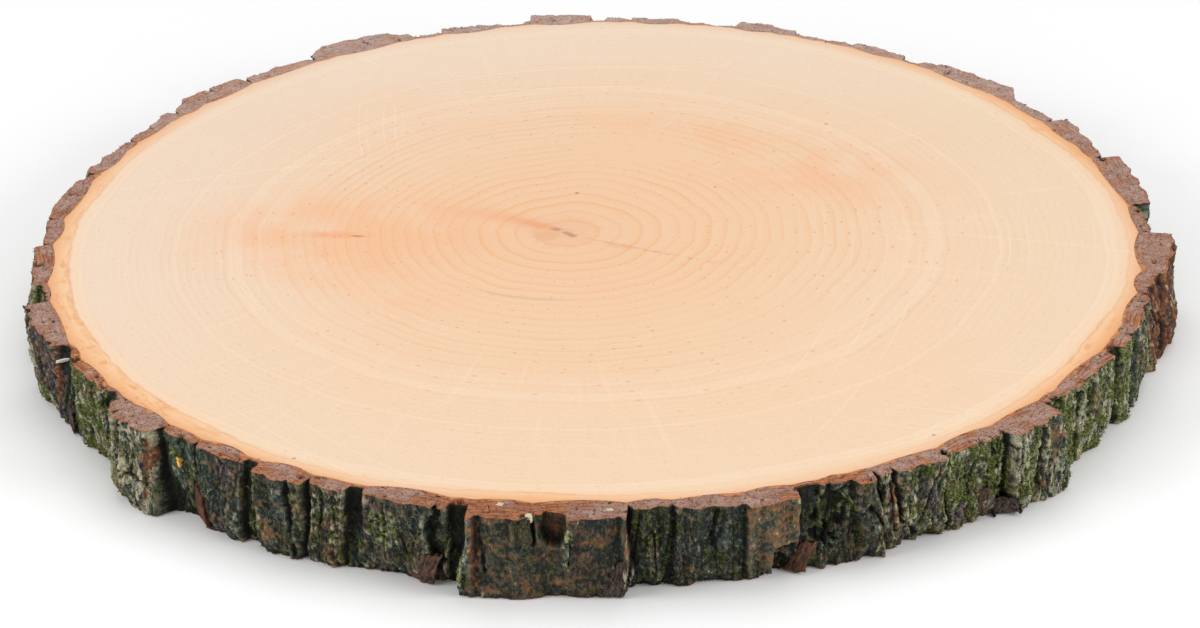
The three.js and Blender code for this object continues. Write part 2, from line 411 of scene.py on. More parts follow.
def woodFinish():
    f = Finish("sandedWood")
    x, y, z = f.parts(f.place())
    x, y = x - pithSpot[0], y - pithSpot[1]
    growth = f.worn("growth")
    reach = growth * woodRadius
    turn = y.maths("ARCTAN2", x)
    below = z.ramp(3.0, 0.5)  # 1 on the underside
    upper = 1.0 - below
    flat = f.vector(x + below * 400.0, y, 0.0)
    around = f.vector(turn.maths("COSINE"), turn.maths("SINE") + below * 3.0, 0.0)

    # growth rings: wider by the pith, closer towards the bark, wavy and dented
    waver = f.cloud(flat, 0.018, 2.0) - 0.5
    ripple = f.cloud(flat, 0.085, 2.0) - 0.5
    dents = f.cloud(around, 3.6, 1.0) - 0.5
    ring = growth * 22.0 + growth * growth * 26.0 + waver * 1.6 + ripple * 0.3
    ring = ring + dents * growth * 0.7 - 0.45
    phase = ring.fraction()
    drawn = f.dice(ring.whole())
    latewood = phase.ramp(0.1, 0.85) * phase.ramp(1.0, 0.86)
    line = phase.ramp(0.66, 0.85) * phase.ramp(1.0, 0.87)
    patchy = f.cloud(flat, 0.026, 2.0)
    middleZone = growth.ramp(0.9, 0.4) * 0.68 + 0.28
    ringStrength = middleZone * (drawn * 0.8 + 0.35) * (patchy.ramp(0.3, 0.7) * 0.7 + 0.4)
    heartZone = growth.ramp(0.34, 0.08)

    # broad colour: salmon round the heart and in soft lobes, cream outside
    broad = f.cloud(flat, 0.014, 3.0, 0.6)
    spread = (growth + (broad - 0.5) * 0.6).ramp(0.9, 0.22)
    coat = Coat(f, f.mix(x.ramp(-150.0, 40.0), (235, 212, 190), (236, 210, 182)))
    coat.over(spread, 238, 200, 165)
    coat.over(y.ramp(-20.0, -140.0) * 0.34, 237, 205, 166)
    coat.over(y.ramp(70.0, 150.0) * 0.3, 240, 225, 210)
    coat.over(heartZone * 0.4, 237, 192, 154)
    heart = (reach - 10.0 + dents * 6.0).ramp(1.6, -1.2)
    coat.over(heart * 0.4, 232, 180, 144)

    def blot(px, py, long, wide, angle, soft):
        u = (x - px) * cos(angle) + (y - py) * sin(angle)
        v = (y - py) * cos(angle) - (x - px) * sin(angle)
        u, v = u * (1.0 / long), v * (1.0 / wide)
        return (u * u + v * v).root().ramp(1.0, 1.0 - soft)

    smudge = f.cloud(flat, 0.05, 3.0, 0.6)
    lobes = 0.0
    for px, py, long, wide, angle, share in (
        (-62.0, -2.0, 66.0, 40.0, 0.1, 1.5), (72.0, 44.0, 64.0, 34.0, -0.5, 1.0),
        (-48.0, -36.0, 46.0, 20.0, -0.6, 0.6), (30.0, 74.0, 44.0, 12.0, -0.2, 0.7),
    ):
        lobes = blot(px, py, long, wide, angle, 1.0) * share + lobes
    coat.over((lobes * smudge.ramp(0.2, 0.7)).clamp() * 0.7, 241, 184, 142)
    # pale soft arcs that follow the rings outside the heart
    pale = f.stripes(ring * 0.5, 0.62, 2.0).ramp(0.5, 0.72) * growth.ramp(0.3, 0.55)
    coat.over(pale * 0.24, 246, 228, 205)
    coat.over((ringStrength * latewood * 0.42).clamp(), 238, 186, 134)
    lineStrength = (ringStrength * line * 0.2 + heartZone * line * 0.16).clamp()
    coat.over(lineStrength, 228, 163, 108)

    # faint rays from the pith outwards, and a fine dense grain
    rays = f.cloud(f.vector(turn * 42.0, reach * 0.014, 0.0), 1.0, 2.0, 0.6).ramp(0.62, 0.76)
    coat.over(rays * growth.ramp(0.2, 0.5) * 0.11, 252, 234, 208)
    grain = f.cloud(flat, 1.1, 2.0, 0.65)
    coat.over(grain.ramp(0.35, 0.75) * 0.15, 224, 176, 132)

    # short orange-brown flecks that lie along the rings, and smaller, fainter ones
    fleck, luck, _ = f.cells(f.vector(turn * 11.0, reach * 0.26, 0.0), 1.0)
    fleck = fleck.ramp(0.12, 0.03) * growth.ramp(0.08, 0.2) * growth.ramp(0.95, 0.5)
    coat.over(fleck * luck.ramp(0.45, 1.0) * 0.75, 219, 148, 100)
    tick, luck, _ = f.cells(f.vector(turn * 30.0, reach * 0.5, 0.0), 1.0)
    tick = tick.ramp(0.2, 0.05) * luck.ramp(0.6, 1.0)
    coat.over(tick * 0.3, 222, 160, 118)

    # long fine arcs left by the saw and the sander
    for cx, cy, scale, low, strength in (
        (-170.0, 20.0, 0.95, 0.68, 0.2), (150.0, 90.0, 0.8, 0.69, 0.16),
        (40.0, -420.0, 0.7, 0.7, 0.2),
    ):
        u, v = x - cx, y - cy
        away = (u * u + v * v).root()
        sweep = f.cloud(f.vector(away * 0.016, v.maths("ARCTAN2", u) * 3.2 + cx, 0.0), 1.0, 2.0)
        scratch = f.stripes(away + cx, scale, 2.0).ramp(low, low + 0.05) * sweep.ramp(0.48, 0.66)
        coat.over(scratch * growth.ramp(0.25, 0.6) * strength, 255, 241, 220)

    # marks of its own: salmon streaks, a dark check, the pith's smudge, a split, specks, a grey arc
    tone = smudge.ramp(0.2, 0.7)
    near = f.cloud(flat, 0.35, 2.0, 0.6) - 0.5
    coat.over(blot(-14.0, 8.0, 24.0, 7.0, -0.5, 1.0) * 0.42, 236, 168, 124)
    coat.over(blot(-8.0, 5.0, 13.0, 3.4, -0.5, 1.0) * 0.45, 226, 146, 104)
    coat.over(blot(-4.6, -2.4, 4.6, 4.2, 0.2, 0.6) * 0.4, 224, 158, 122)
    coat.over(blot(-34.0, 14.0, 34.0, 6.0, -0.25, 1.0) * tone * 0.3, 236, 168, 124)
    check = (y + 12.4 + (x - 26.0) * 0.44 + near * 3.0).size().ramp(0.7, 0.15)
    check = check * blot(26.0, -12.4, 30.0, 8.0, -0.42, 0.5) * (near + 0.5).ramp(0.35, 0.6)
    coat.over(check * 0.5, 216, 144, 96)
    coat.over(blot(16.0, -9.0, 9.0, 2.6, -0.4, 1.0) * 0.4, 224, 160, 114)

    def smear(px, py, long, wide, angle):
        return blot(px + near * 1.2, py - near * 1.6, long, wide, angle, 0.9)

    smears = smear(-2.0, 1.9, 2.9, 1.7, -0.35) + smear(1.2, -0.9, 2.8, 1.6, -0.7)
    smears = smears + smear(2.9, -2.6, 2.0, 2.0, -0.3)
    coat.over(smears.clamp() * 0.62, 170, 112, 104)
    coat.over(blot(-0.4, 0.9, 1.2, 1.0, -0.5, 0.8) * 0.7, 226, 186, 166)
    split = blot(-59.2, -2.6, 2.9, 0.5, -0.1, 0.75) * upper
    coat.over(split * 0.9, 110, 86, 62)
    coat.over(blot(-66.0, -2.0, 17.0, 3.6, -0.04, 1.0) * upper * 0.6, 236, 162, 116)
    for px, py, wide in (
        (80.4, 76.7, 0.75), (3.8, 26.5, 0.9), (44.7, 30.7, 0.6), (-66.8, -131.8, 0.8),
        (96.1, -119.7, 0.7),
    ):
        speck = blot(px, py, wide, wide * 0.8, 0.4, 0.6) * upper
        coat.over(speck * 0.75, 146, 108, 72)
    arc = (reach - 43.5 + (turn + 1.6) * 2.0).size().ramp(1.2, 0.2)
    arc = arc * turn.ramp(-2.35, -1.9) * turn.ramp(-1.35, -1.75) * upper
    coat.over(arc * 0.3, 178, 160, 132)

    # inner bark: its inner edge soft, its outer edge cut by the bark's scallops
    strength = f.worn("bandStrength")
    stain = f.worn("bandStain")
    streaks = f.cloud(f.vector(turn * 22.0, reach * 0.5, 0.0), 1.0, 3.0, 0.65)
    inward = woodRadius - reach
    width = f.worn("bandWidth") + dents * 2.4 + (f.cloud(around, 30.0, 1.0) - 0.5) * 1.4
    depth = inward - width
    crisp = strength * strength
    band = depth.ramp(0.8, -0.8) * crisp + depth.ramp(2.0, -3.5) * (1.0 - crisp)
    orange = f.mix(streaks.ramp(0.3, 0.7), (241, 197, 152), (236, 178, 124))
    orange = f.mix((inward + (streaks - 0.5) * 5.0).ramp(4.4, -0.5) * 0.8, orange, (226, 148, 86))
    sparse = f.cloud(around, 26.0, 1.0)
    dark = (streaks + (grain - 0.5) * 0.2).ramp(0.46, 0.68) * stain
    dark = dark * (sparse + stain * 0.1).ramp(0.52, 0.64)
    orange = f.mix(dark * 0.55, orange, (216, 134, 70))
    coat.over(band * strength * 0.9, orange)
    glow = depth.ramp(6.0, 0.0) * strength * strength
    coat.over(glow * (1.0 - band) * 0.3, 244, 196, 148)
    rim = (depth + 0.3).size().ramp(0.55, 0.1)
    coat.over(rim * crisp * 0.3, 212, 150, 120)
    # torn bark left standing over the wood's edge
    torn = f.cloud(flat, 0.42, 3.0, 0.7)
    last = (inward + 1.6 + (torn - 0.5) * 11.0).ramp(0.25, -0.25)
    last = (last + (inward + (streaks - 0.5) * 1.6).ramp(0.7, -0.6) * 0.5).clamp()
    coat.over(last * 0.9, f.mix(torn, (150, 92, 58), (164, 124, 106)))

    # saw marks on the underside
    saw = f.stripes(x * 0.9 + y * 0.12 + ripple * 2.0, 0.8, 3.0)
    coat.over(below * saw.ramp(0.45, 0.75) * 0.22, 206, 166, 128)

    rough = 0.56 + (grain - 0.5) * 0.1 + band * 0.1
    height = grain * 0.12 - split * 0.9 + below * saw * 0.7
    return f.close(coat.colour, rough, height, 0.25, specular=0.3)


print("wood")
wood = makeWood()
finishPiece(wood, "woodFace", woodFinish())
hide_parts("wood")


# Bark
barkRing = {
    "columns": 3760,
    "topRows": 14,
    "faceRows": 60,
    "footRows": 8,
    "overlap": 0.12,  # reaches this far in over the seam
    "rim": 0.22,  # height over which the sawn face turns into the outer face
    "ribs": 0.34,  # vertical ribs
    "facets": 0.8,  # broad flat facets, each leaning its own way
    "facetSize": (7.5, 11.0),  # round the trunk and up
    "flakes": 0.42,  # steps between flakes
    "flakeSize": (4.0, 7.5),
    "chips": 0.26,
    "chipSize": (1.6, 2.3),
    "cracks": 0.6,
    "grain": 0.2,
    "nibbles": 0.6,  # out of the upper edge
    "bites": 1.2,  # out of the lower edge
    "footRound": 3.6,  # how far the foot draws in where it is worn round
}
# The ring is modelled in sections that meet in deep cracks: name, and the cracks' angles.
barkSections = (
    ("barkFront", 226.5, 296.5), ("barkRight", 296.5, 359.4), ("barkFarRight", 359.4, 73.6),
    ("barkFarLeft", 73.6, 165.6), ("barkLeft", 165.6, 226.5),
)
# How each plate looks on its outer face, and the angle where it ends.
plateLooks = (
    (6.2, "moss"), (18.3, "teal"), (21.7, "raw"), (28.8, "lichen"), (35.5, "olive"), (38.3, "raw"),
    (47.9, "rust"), (49.9, "raw"), (52.1, "shade"), (58.8, "teal"), (62.3, "moss"), (66.2, "olive"),
    (69.2, "lichen"), (73.6, "teal"), (74.8, "shade"), (77, "moss"), (80.2, "olive"),
    (85.8, "rust"), (88.8, "teal"), (90.5, "shade"), (97.6, "lichen"), (98.8, "crust"),
    (101.3, "shade"), (108.7, "olive"), (112.3, "moss"), (114.4, "crust"), (123, "teal"),
    (125.8, "raw"), (135.5, "olive"), (143.8, "lichen"), (147.7, "raw"), (149.9, "shade"),
    (156.3, "teal"), (158.8, "moss"), (165.6, "olive"), (167.4, "shade"), (177.4, "rust"),
    (183.6, "teal"), (192.8, "olive"), (196.9, "moss"), (206.4, "crust"), (210.2, "shade"),
    (216.6, "moss"), (219.2, "moss"), (221.1, "lichen"), (226.5, "frost"), (231, "shade"),
    (236.6, "teal"), (238.1, "moss"), (243.5, "deep"), (247.2, "olive"), (248.8, "shade"),
    (257, "teal"), (258.9, "shade"), (264.4, "mottled"), (273, "mottled"), (277.1, "shade"),
    (283.6, "deep"), (288.6, "rust"), (291.1, "shade"), (294.3, "teal"), (296.5, "teal"),
    (304.2, "olive"), (311.2, "moss"), (318.4, "lichen"), (320.8, "moss"), (331.2, "bright"),
    (333, "shade"), (335.6, "bright"), (337.4, "shade"), (345, "olive"), (350.2, "raw"),
    (359.4, "raw"),
)
# What a look is made of, and how much of each a plate or a spot with that look has.
lookNames = (
    "moss", "lichen", "rust", "raw", "crust", "shade", "brown", "light", "furrow", "bumps", "grit",
)
# The shade column lays painted shade; the shade look is a mossy gap darkened with it.
looks = {
    "teal": (0.3, 0.1, 0.3, 0.0, 0.14, 0.05, 0.35, 0.16, 0.4, 0.7, 0.8),
    "deep": (0.5, 0.04, 0.34, 0.0, 0.16, 0.1, 0.5, 0.08, 0.35, 0.7, 0.7),
    "olive": (0.5, 0.4, 0.3, 0.0, 0.12, 0.05, 0.7, 0.32, 0.9, 0.9, 1.0),
    "moss": (0.76, 0.54, 0.1, 0.0, 0.0, 0.15, 0.5, 0.53, 0.9, 1.0, 1.15),
    "bright": (0.78, 0.84, 0.1, 0.0, 0.0, 0.05, 0.5, 0.72, 1.0, 1.0, 1.2),
    "lichen": (0.44, 0.7, 0.3, 0.0, 0.1, 0.0, 0.5, 0.5, 1.0, 0.8, 1.15),
    "frost": (0.24, 0.84, 0.42, 0.0, 0.14, 0.05, 0.2, 0.58, 0.1, 0.7, 1.25),
    "mottled": (0.34, 0.0, 0.58, 0.0, 0.15, 0.1, 0.6, 0.15, 0.05, 0.2, 0.6),
    "rust": (0.16, 0.1, 0.78, 0.0, 0.2, 0.05, 0.55, 0.38, 0.1, 0.25, 0.7),
    "raw": (0.08, 0.1, 0.3, 0.8, 0.35, 0.15, 0.9, 0.34, 1.0, 0.9, 0.6),
    "crust": (0.05, 0.1, 0.2, 0.1, 0.95, 0.3, 0.6, 0.26, 0.6, 1.0, 0.8),
    "shade": (0.6, 0.05, 0.0, 0.0, 0.1, 0.6, 0.3, 0.28, 0.5, 0.7, 0.7),
    "chip": (0.0, 0.0, 0.1, 0.8, 0.5, 0.1, 0.9, 0.3, 0.3, 0.3, 0.5),
}
# Stains, growths and patches of painted shade (the shade look, mostly sunk): angle, height, half width
# and half height in mm, lift, look.
barkSpots = (
    (198.6, 14, 3.6, 9.5, 0.3, "lichen"), (205.6, 13, 1.2, 8, 0.1, "raw"),
    (202.6, 15, 1.3, 8, 0.2, "raw"), (202.5, 3.0, 6.5, 3.6, 0.3, "moss"),
    (208.4, 4.5, 2.2, 4.8, 0.5, "crust"), (213.0, 16, 4.0, 5.0, 0.2, "lichen"),
    (226.0, 14, 1.6, 9.5, 0.1, "raw"), (222.5, 14, 7.0, 7.0, 0.2, "lichen"),
    (234.6, 19, 3.4, 5, 0.2, "crust"), (239.6, 6, 3.0, 4.5, 0.3, "rust"),
    (241.4, 18, 3.0, 3.0, 0.1, "deep"), (249.9, 20, 3.4, 3.2, 0.2, "crust"),
    (251.0, 14, 5.0, 6.0, 0.3, "moss"), (256.0, 14.5, 3.0, 9.5, -2.2, "shade"),
    (257.9, 7, 2.4, 5.5, 0.6, "bright"), (259.6, 13, 1.3, 10, 0.1, "raw"),
    (267.6, 15.0, 1.6, 6.2, 0.1, "moss"), (272.2, 5.5, 4.2, 6.6, 0.7, "crust"),
    (272.9, 17, 1.4, 6, 0.2, "raw"), (275.3, 13, 2.0, 9, 0.3, "olive"),
    (279.6, 6, 3.0, 5.5, 0.3, "deep"), (281.6, 13, 4.6, 4.8, 0.2, "shade"),
    (284.6, 1.8, 3.4, 5.0, -0.7, "deep"), (287.2, 2.6, 4.6, 3.4, -1.2, "moss"),
    (292.3, 16.5, 5.4, 7.4, -1.6, "shade"), (291.3, 9.0, 3.2, 4.2, -2.6, "shade"),
    (293.4, 18.0, 3.0, 4.0, 0.4, "moss"), (300.3, 11, 2.2, 5.0, 0.4, "lichen"),
    (302.2, 14, 2.6, 4.6, 0.2, "crust"), (298.6, 14, 2.0, 9, 0.2, "raw"),
    (306.4, 3.6, 2.3, 4.4, 0.5, "crust"), (309.8, 3.6, 3.4, 3.6, 0.7, "crust"),
    (313.4, 12, 3.0, 8, 0.3, "bright"), (317.0, 17, 3.0, 6, 0.2, "rust"),
    (317.4, 6, 3.0, 5, 0.2, "olive"), (326.4, 14, 2.4, 9, 0.3, "lichen"),
    (342.3, 13, 2.2, 11, 0.3, "moss"), (352.5, 12, 2.6, 10, -0.4, "crust"),
    (356.0, 13, 2.4, 9, 0.3, "rust"), (24.5, 14, 3.2, 6, 0.4, "lichen"),
    (43.0, 8, 5.0, 5.0, 0.4, "rust"), (56.0, 15, 3.0, 6.0, 0.3, "moss"),
    (94.0, 10, 4.0, 6.0, 0.4, "lichen"), (105.0, 16, 3.0, 5.0, 0.4, "crust"),
    (118.0, 8, 4.2, 5.0, 0.4, "rust"), (140.0, 7, 3.6, 4.4, 0.4, "moss"),
    (154.0, 12, 3.0, 7.0, 0.3, "lichen"), (174.0, 16, 3.2, 4.6, 0.4, "raw"),
    (188.0, 12, 3.4, 7.0, 0.3, "lichen"),
)
# Flat broken faces: angle, height, half width and half height in mm, how deep their middle lies,
# and how much they slope across and upwards, mm in a mm.
brokenFaces = (
    (266.3, 20.2, 3.0, 5.0, 3.0, 0.28, 0.12), (71.0, 6.0, 3.4, 4.6, 0.8, 0.2, 0.1),
    (131.0, 18.0, 4.0, 4.0, 0.8, -0.2, 0.2), (12.5, 5.0, 4.0, 4.4, 0.8, 0.1, -0.2),
)
# Long cracks in single plates: first and last angle and height, half width and depth in mm.
longCracks = (
    (221.4, 9.6, 226.0, 8.4, 0.35, 1.3), (241.6, 23, 242.0, 2, 0.4, 1.3),
    (223.6, 23.6, 221.2, 20.6, 0.35, 1.0), (298.4, 23, 299.4, 9, 0.4, 1.6),
    (295.6, 16, 297.6, 8, 0.4, 1.6), (299.4, 9, 301.2, 3, 0.4, 1.2),
    (303.0, 20, 301.6, 6, 0.35, 1.0), (315.2, 22, 314.6, 1, 0.5, 1.6),
    (323.5, 22, 323.9, 1, 0.4, 1.2), (329.6, 21, 329.2, 1, 0.45, 1.4),
    (326.0, 22, 325.6, 6, 0.35, 1.0), (281.0, 23, 280.6, 12, 0.35, 0.8),
    (259.9, 23, 260.4, 8, 0.4, 0.9), (9.5, 9, 15.5, 8, 0.4, 1.2), (83.0, 22, 83.4, 3, 0.45, 1.4),
    (168.0, 9.6, 174.6, 8.4, 0.45, 1.2), (31.5, 23, 31.2, 3, 0.4, 1.2),
    (43.6, 23, 43.0, 9, 0.4, 1.1), (104.6, 22, 104.0, 4, 0.4, 1.3), (119.0, 23, 118.4, 8, 0.4, 1.2),
    (130.6, 22, 131.4, 2, 0.4, 1.3), (140.2, 23, 139.8, 6, 0.4, 1.1),
    (188.4, 23, 188.0, 3, 0.4, 1.3), (201.4, 22, 201.8, 8, 0.5, 1.2),
    (203.6, 20, 203.2, 2, 0.5, 1.4), (354.4, 23, 354.0, 3, 0.5, 1.4),
    (343.0, 23, 343.4, 2, 0.4, 1.2), (347.6, 22, 348.4, 3, 0.5, 1.4),
)
# Stretches where a crack of the solid is closed: first and last angle, lowest and highest height.
closedCracks = ((263.3, 265.5, -5.0, 15.5),)
# Faces that are evened out: first and last angle.
evenFaces = ((197.6, 206.0), (259.2, 263.0), (268.4, 272.6))
# How orange the sawn bark is, by angle.
topWarmth = (
    (5, 0.0), (20, 0.6), (36, 0.4), (50, 0.8), (70, 0.3), (90, 0.6), (110, 0.3), (128, 0.7),
    (150, 0.3), (166, 0.7), (180, 0.3), (195, 0.5), (206, 0.3), (212, 0.9), (216, 0.7), (219, 0.4),
    (225, 0.3), (229, 0.8), (236, 0.6), (241, 0.3), (247, 0.6), (253, 0.5), (257, 1.2),
    (263.6, 1.3), (265, 0.6), (272, 0.6), (273, 0.2), (277, 0.5), (284, 0.2), (288, 0.3),
    (291, 1.0), (294, 0.8), (297, 0.7), (304, 0.4), (312, 0.3), (318, 0.8), (322, 0.6), (332, 0.4),
    (345, 0.5), (355, 0.0),
)
# Pits in the sawn face: angle, radius from the trunk's middle, half width in mm and depth.
topPits = (
    (255.7, 156.4, 0.9, 1.6), (257.9, 158.3, 1.2, 2.0), (271.4, 158.6, 0.7, 1.0),
    (242.6, 160.0, 1.1, 1.6), (244.1, 158.9, 0.7, 1.2), (237.6, 161.2, 1.0, 1.4),
    (226.2, 160.8, 0.6, 1.0), (308.3, 158.6, 1.1, 2.0), (295.7, 159.2, 0.8, 1.4),
    (304.2, 157.4, 1.0, 1.6), (216.4, 160.6, 0.9, 1.4), (214.0, 159.4, 0.8, 1.2),
    (332.4, 156.4, 1.0, 1.6), (343.4, 157.6, 1.0, 1.6), (352.4, 159.6, 0.9, 1.6),
    (4.7, 158.6, 1.0, 1.6), (17.8, 160.6, 1.0, 1.4), (46.0, 162.0, 1.1, 1.4),
    (62.0, 160.0, 0.8, 1.2), (95.0, 161.0, 1.0, 1.4), (118.0, 160.6, 1.1, 1.4),
    (141.0, 158.0, 0.9, 1.2), (171.0, 156.4, 0.9, 1.2), (188.0, 158.4, 1.0, 1.4),
    (265.5, 161.6, 1.5, 2.2), (263.7, 162.4, 0.8, 1.2), (209.8, 159.4, 1.0, 1.8),
    (201.0, 161.4, 0.7, 1.0), (284.6, 157.4, 0.6, 1.0), (262.0, 159.4, 0.5, 0.8),
)


def castIn(tree, turn, height):
    # radius of the bark's outer face, in mm, seen from well outside it
    outside, missing = 250.0, 150.0
    way = Vector((cos(turn), sin(turn), 0))
    middle = Vector((trunkSpot[0] * mm, trunkSpot[1] * mm, height * mm))
    hit = tree.ray_cast(middle + way * (outside * mm), -way)
    return outside - hit[3] * 1000 if hit[3] is not None else missing


def castOut(tree, turn):
    # radius of the bark's inner face, in mm
    way = Vector((cos(turn), sin(turn), 0))
    middle = Vector((trunkSpot[0] * mm, trunkSpot[1] * mm, 0.5 * sliceTop * mm))
    return tree.ray_cast(middle, way)[3] * 1000


def barkColumns(tree):
    # angles of the columns: closer together where the face steps in or out
    fine = 7200
    heights = (4.0, 12.0, 20.0)
    turns = np.arange(fine) * 2 * pi / fine
    lengths = np.zeros(fine)
    for height in heights:
        radii = np.array([castIn(tree, turn, height) for turn in turns])
        onward = np.roll(radii, -1) - radii
        arc = radii * 2 * pi / fine
        lengths += np.sqrt((0.6 * onward) ** 2 + arc**2) / len(heights)
    run = np.concatenate([[0.0], np.cumsum(lengths)])
    share = np.arange(barkRing["columns"]) / barkRing["columns"] * run[-1]
    return np.interp(share, run, np.arange(fine + 1) * 2 * pi / fine)


def onTrunk(turns, heights, radius=barkRadius):
    # points in mm, for noise
    grids = (radius * np.cos(turns), radius * np.sin(turns), heights)
    return np.stack(grids, axis=-1).reshape(-1, 3)


def shapeBark():
    # the outer face as a grid of radii, with what each point looks like
    tree = treeOf(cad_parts["bark"])
    turns = barkColumns(tree)
    degrees = np.degrees(turns)
    rim = barkRing["rim"]
    heights = np.linspace(sliceTop - rim, rim, barkRing["faceRows"])
    turnGrid, heightGrid = np.meshgrid(turns, heights)
    shape = turnGrid.shape
    points = onTrunk(turnGrid, heightGrid)

    def soft(across, along, octaves, seed, at=points):
        return fuzz(at, across, along, octaves, seed).reshape(shape)

    def net(across, along, seed):
        return [grid.reshape(shape) for grid in flaky(bent, across, along, seed)]

    # the cracks stray a little: look the solid's face up at a shifted angle
    stray = soft(9, 7, 3, 1) * 0.55 / barkRadius
    spots = zip((turnGrid + stray).ravel(), np.clip(heightGrid, 0.3, sliceTop - 0.3).ravel())
    cast = np.array([castIn(tree, turn, height) for turn, height in spots]).reshape(shape)
    for start, end, low, high in closedCracks:
        first, last = np.searchsorted(degrees, (start, end))
        share = np.linspace(0, 1, last - first)[None, :]
        bridge = cast[:, first, None] * (1 - share) + cast[:, last, None] * share
        mask = step01(heights, low - 1, low)[:, None] * step01(heights, high + 1, high)[:, None]
        cast[:, first:last] += (np.maximum(bridge, cast[:, first:last]) - cast[:, first:last]) * mask
    radii = smooth(cast, 1.6, 0.8)
    even = smooth(cast, 4.0, 22.0)
    for start, end in evenFaces:
        mask = step01(degrees, start - 0.1, start + 0.5) * step01(degrees, end + 0.1, end - 0.5)
        radii += (even - radii) * mask[None, :]
    seam = np.array([castOut(tree, turn) for turn in turns]) - barkRing["overlap"]

    # which plate a point is on
    ends = [end for end, _ in plateLooks]
    small = soft(0.95, 1.2, 2, 31)
    warped = (np.degrees(turnGrid + stray) + small * 0.12) % 360
    index = np.searchsorted(ends, warped.ravel()).reshape(shape) % len(ends)
    weights = np.array([looks[look] for _, look in plateLooks])
    trait = {name: weights[index, k].astype(float) for k, name in enumerate(lookNames)}
    draw = random.Random(11)
    tone = np.array([draw.random() for _ in ends])[index]
    hue = np.array([draw.random() for _ in ends])[index]

    # stains and growths, each with a ragged outline
    ragged = soft(2.4, 3.4, 4, 12)
    relief = np.zeros(shape)
    around = (np.degrees(turnGrid) + 180) % 360

    def acrossFrom(angle):
        # mm round the face from that angle
        return ((around - angle) % 360 - 180) * pi / 180 * barkRadius

    for angle, height, halfWide, halfTall, lift, look in barkSpots:
        u = acrossFrom(angle) / halfWide
        v = (heightGrid - height) / halfTall
        inside = 1 - np.sqrt(u * u + v * v) + ragged * 0.5 + small * 0.18
        mask = step01(inside, 0.0, 0.3)
        relief += lift * mask
        for k, name in enumerate(lookNames):
            trait[name] += (looks[look][k] - trait[name]) * mask

    # ribs, flakes, chips and cracks
    ribs = soft(2.6, 22, 3, 3)
    lines = 1 - step01(np.abs(soft(5.5, 42, 2, 4)), 0.0, 0.075)
    wide = soft(8, 14, 3, 5)
    bent = points + np.stack([ragged.ravel() * 1.5, ragged.ravel() * 1.5, wide.ravel() * 3], -1)
    facetDraw, _, facetLean = net(*barkRing["facetSize"], 4)
    flakeDraw, flakeEdge, flakeLean = net(*barkRing["flakeSize"], 6)
    chipDraw, chipEdge, chipLean = net(*barkRing["chipSize"], 8)
    furrow, bumps = trait["furrow"], trait["bumps"]
    bumpy = barkRing["ribs"] * furrow * ribs + 0.3 * wide * bumps
    bumpy += barkRing["facets"] * (0.4 * (facetDraw - 0.5) + 0.6 * facetLean) * (0.3 + 0.7 * bumps)
    bumpy += barkRing["flakes"] * bumps * ((flakeDraw - 0.5) + 0.5 * flakeLean)
    bumpy += barkRing["chips"] * bumps * ((chipDraw - 0.5) + 0.6 * chipLean)
    bumpy -= barkRing["cracks"] * bumps * (1 - step01(flakeEdge, 0.02, 0.12)) * step01(wide, -0.3, 0.4)
    bumpy -= 0.2 * bumps * (1 - step01(chipEdge, 0.03, 0.2))
    bumpy -= (0.1 + furrow) * 0.7 * lines
    # the saw left the top edge cleaner
    bumpy *= 0.35 + 0.65 * step01(heightGrid, 23.9, 21.0)
    relief += bumpy + barkRing["grain"] * small * (0.4 + 0.6 * bumps) + 0.1 * ragged
    for startAngle, startHeight, endAngle, endHeight, halfWide, deep in longCracks:
        # distance from the crack's line, which wanders
        across = acrossFrom(startAngle)
        up = heightGrid - startHeight
        runX = (endAngle - startAngle) * pi / 180 * barkRadius
        runY = endHeight - startHeight
        along = np.clip((across * runX + up * runY) / (runX**2 + runY**2), 0, 1)
        away = np.hypot(across - along * runX, up - along * runY) + 0.9 * ragged
        trench = 1 - step01(np.abs(away), halfWide * 0.5, halfWide * 2.2)
        relief -= deep * trench
        # painted shade along each crack
        trait["shade"] += 0.5 * trench
    radii = radii + relief

    # flat broken faces replace what was there
    broken = np.zeros(shape)
    for angle, height, halfWide, halfTall, deep, slopeAcross, slopeUp in brokenFaces:
        across = acrossFrom(angle)
        up = heightGrid - height
        inside = 1 - (np.abs(across / halfWide) ** 5 + np.abs(up / halfTall) ** 5) ** 0.2
        mask = step01(inside + ragged * 0.16, 0.0, 0.1)
        near = np.abs(across[0]) < halfWide + 2
        level = np.percentile(radii[:, near], 75) - deep
        plane = level + across * slopeAcross + up * slopeUp + 0.12 * ribs + 0.08 * small
        radii += (plane - radii) * mask
        broken = np.maximum(broken, mask)
        for k, name in enumerate(lookNames):
            trait[name] += (looks["chip"][k] - trait[name]) * mask

    # nibbled edges at both sawn faces
    edgeNoise = fuzz(onTrunk(turns, np.full(len(turns), 51.0)), 2.6, 3, 2, 22)
    footNoise = fuzz(onTrunk(turns, np.full(len(turns), 77.0)), 2.4, 3, 3, 23)
    footWaves = fuzz(onTrunk(turns, np.full(len(turns), 93.0)), 9, 3, 3, 24)
    nibble = np.clip(edgeNoise - 0.2, 0, 1)[None, :] * step01(heights, 22.2, 23.8)[:, None]
    bitten = np.clip(footNoise, 0, 1)[None, :] * step01(heights, 2.4, 0.2)[:, None]
    rounded = np.clip(footWaves + 0.25, 0, 1)[None, :] * step01(heights, 5.0, -1.0)[:, None]
    radii = radii - barkRing["nibbles"] * nibble - barkRing["bites"] * bitten
    radii = radii - barkRing["footRound"] * rounded
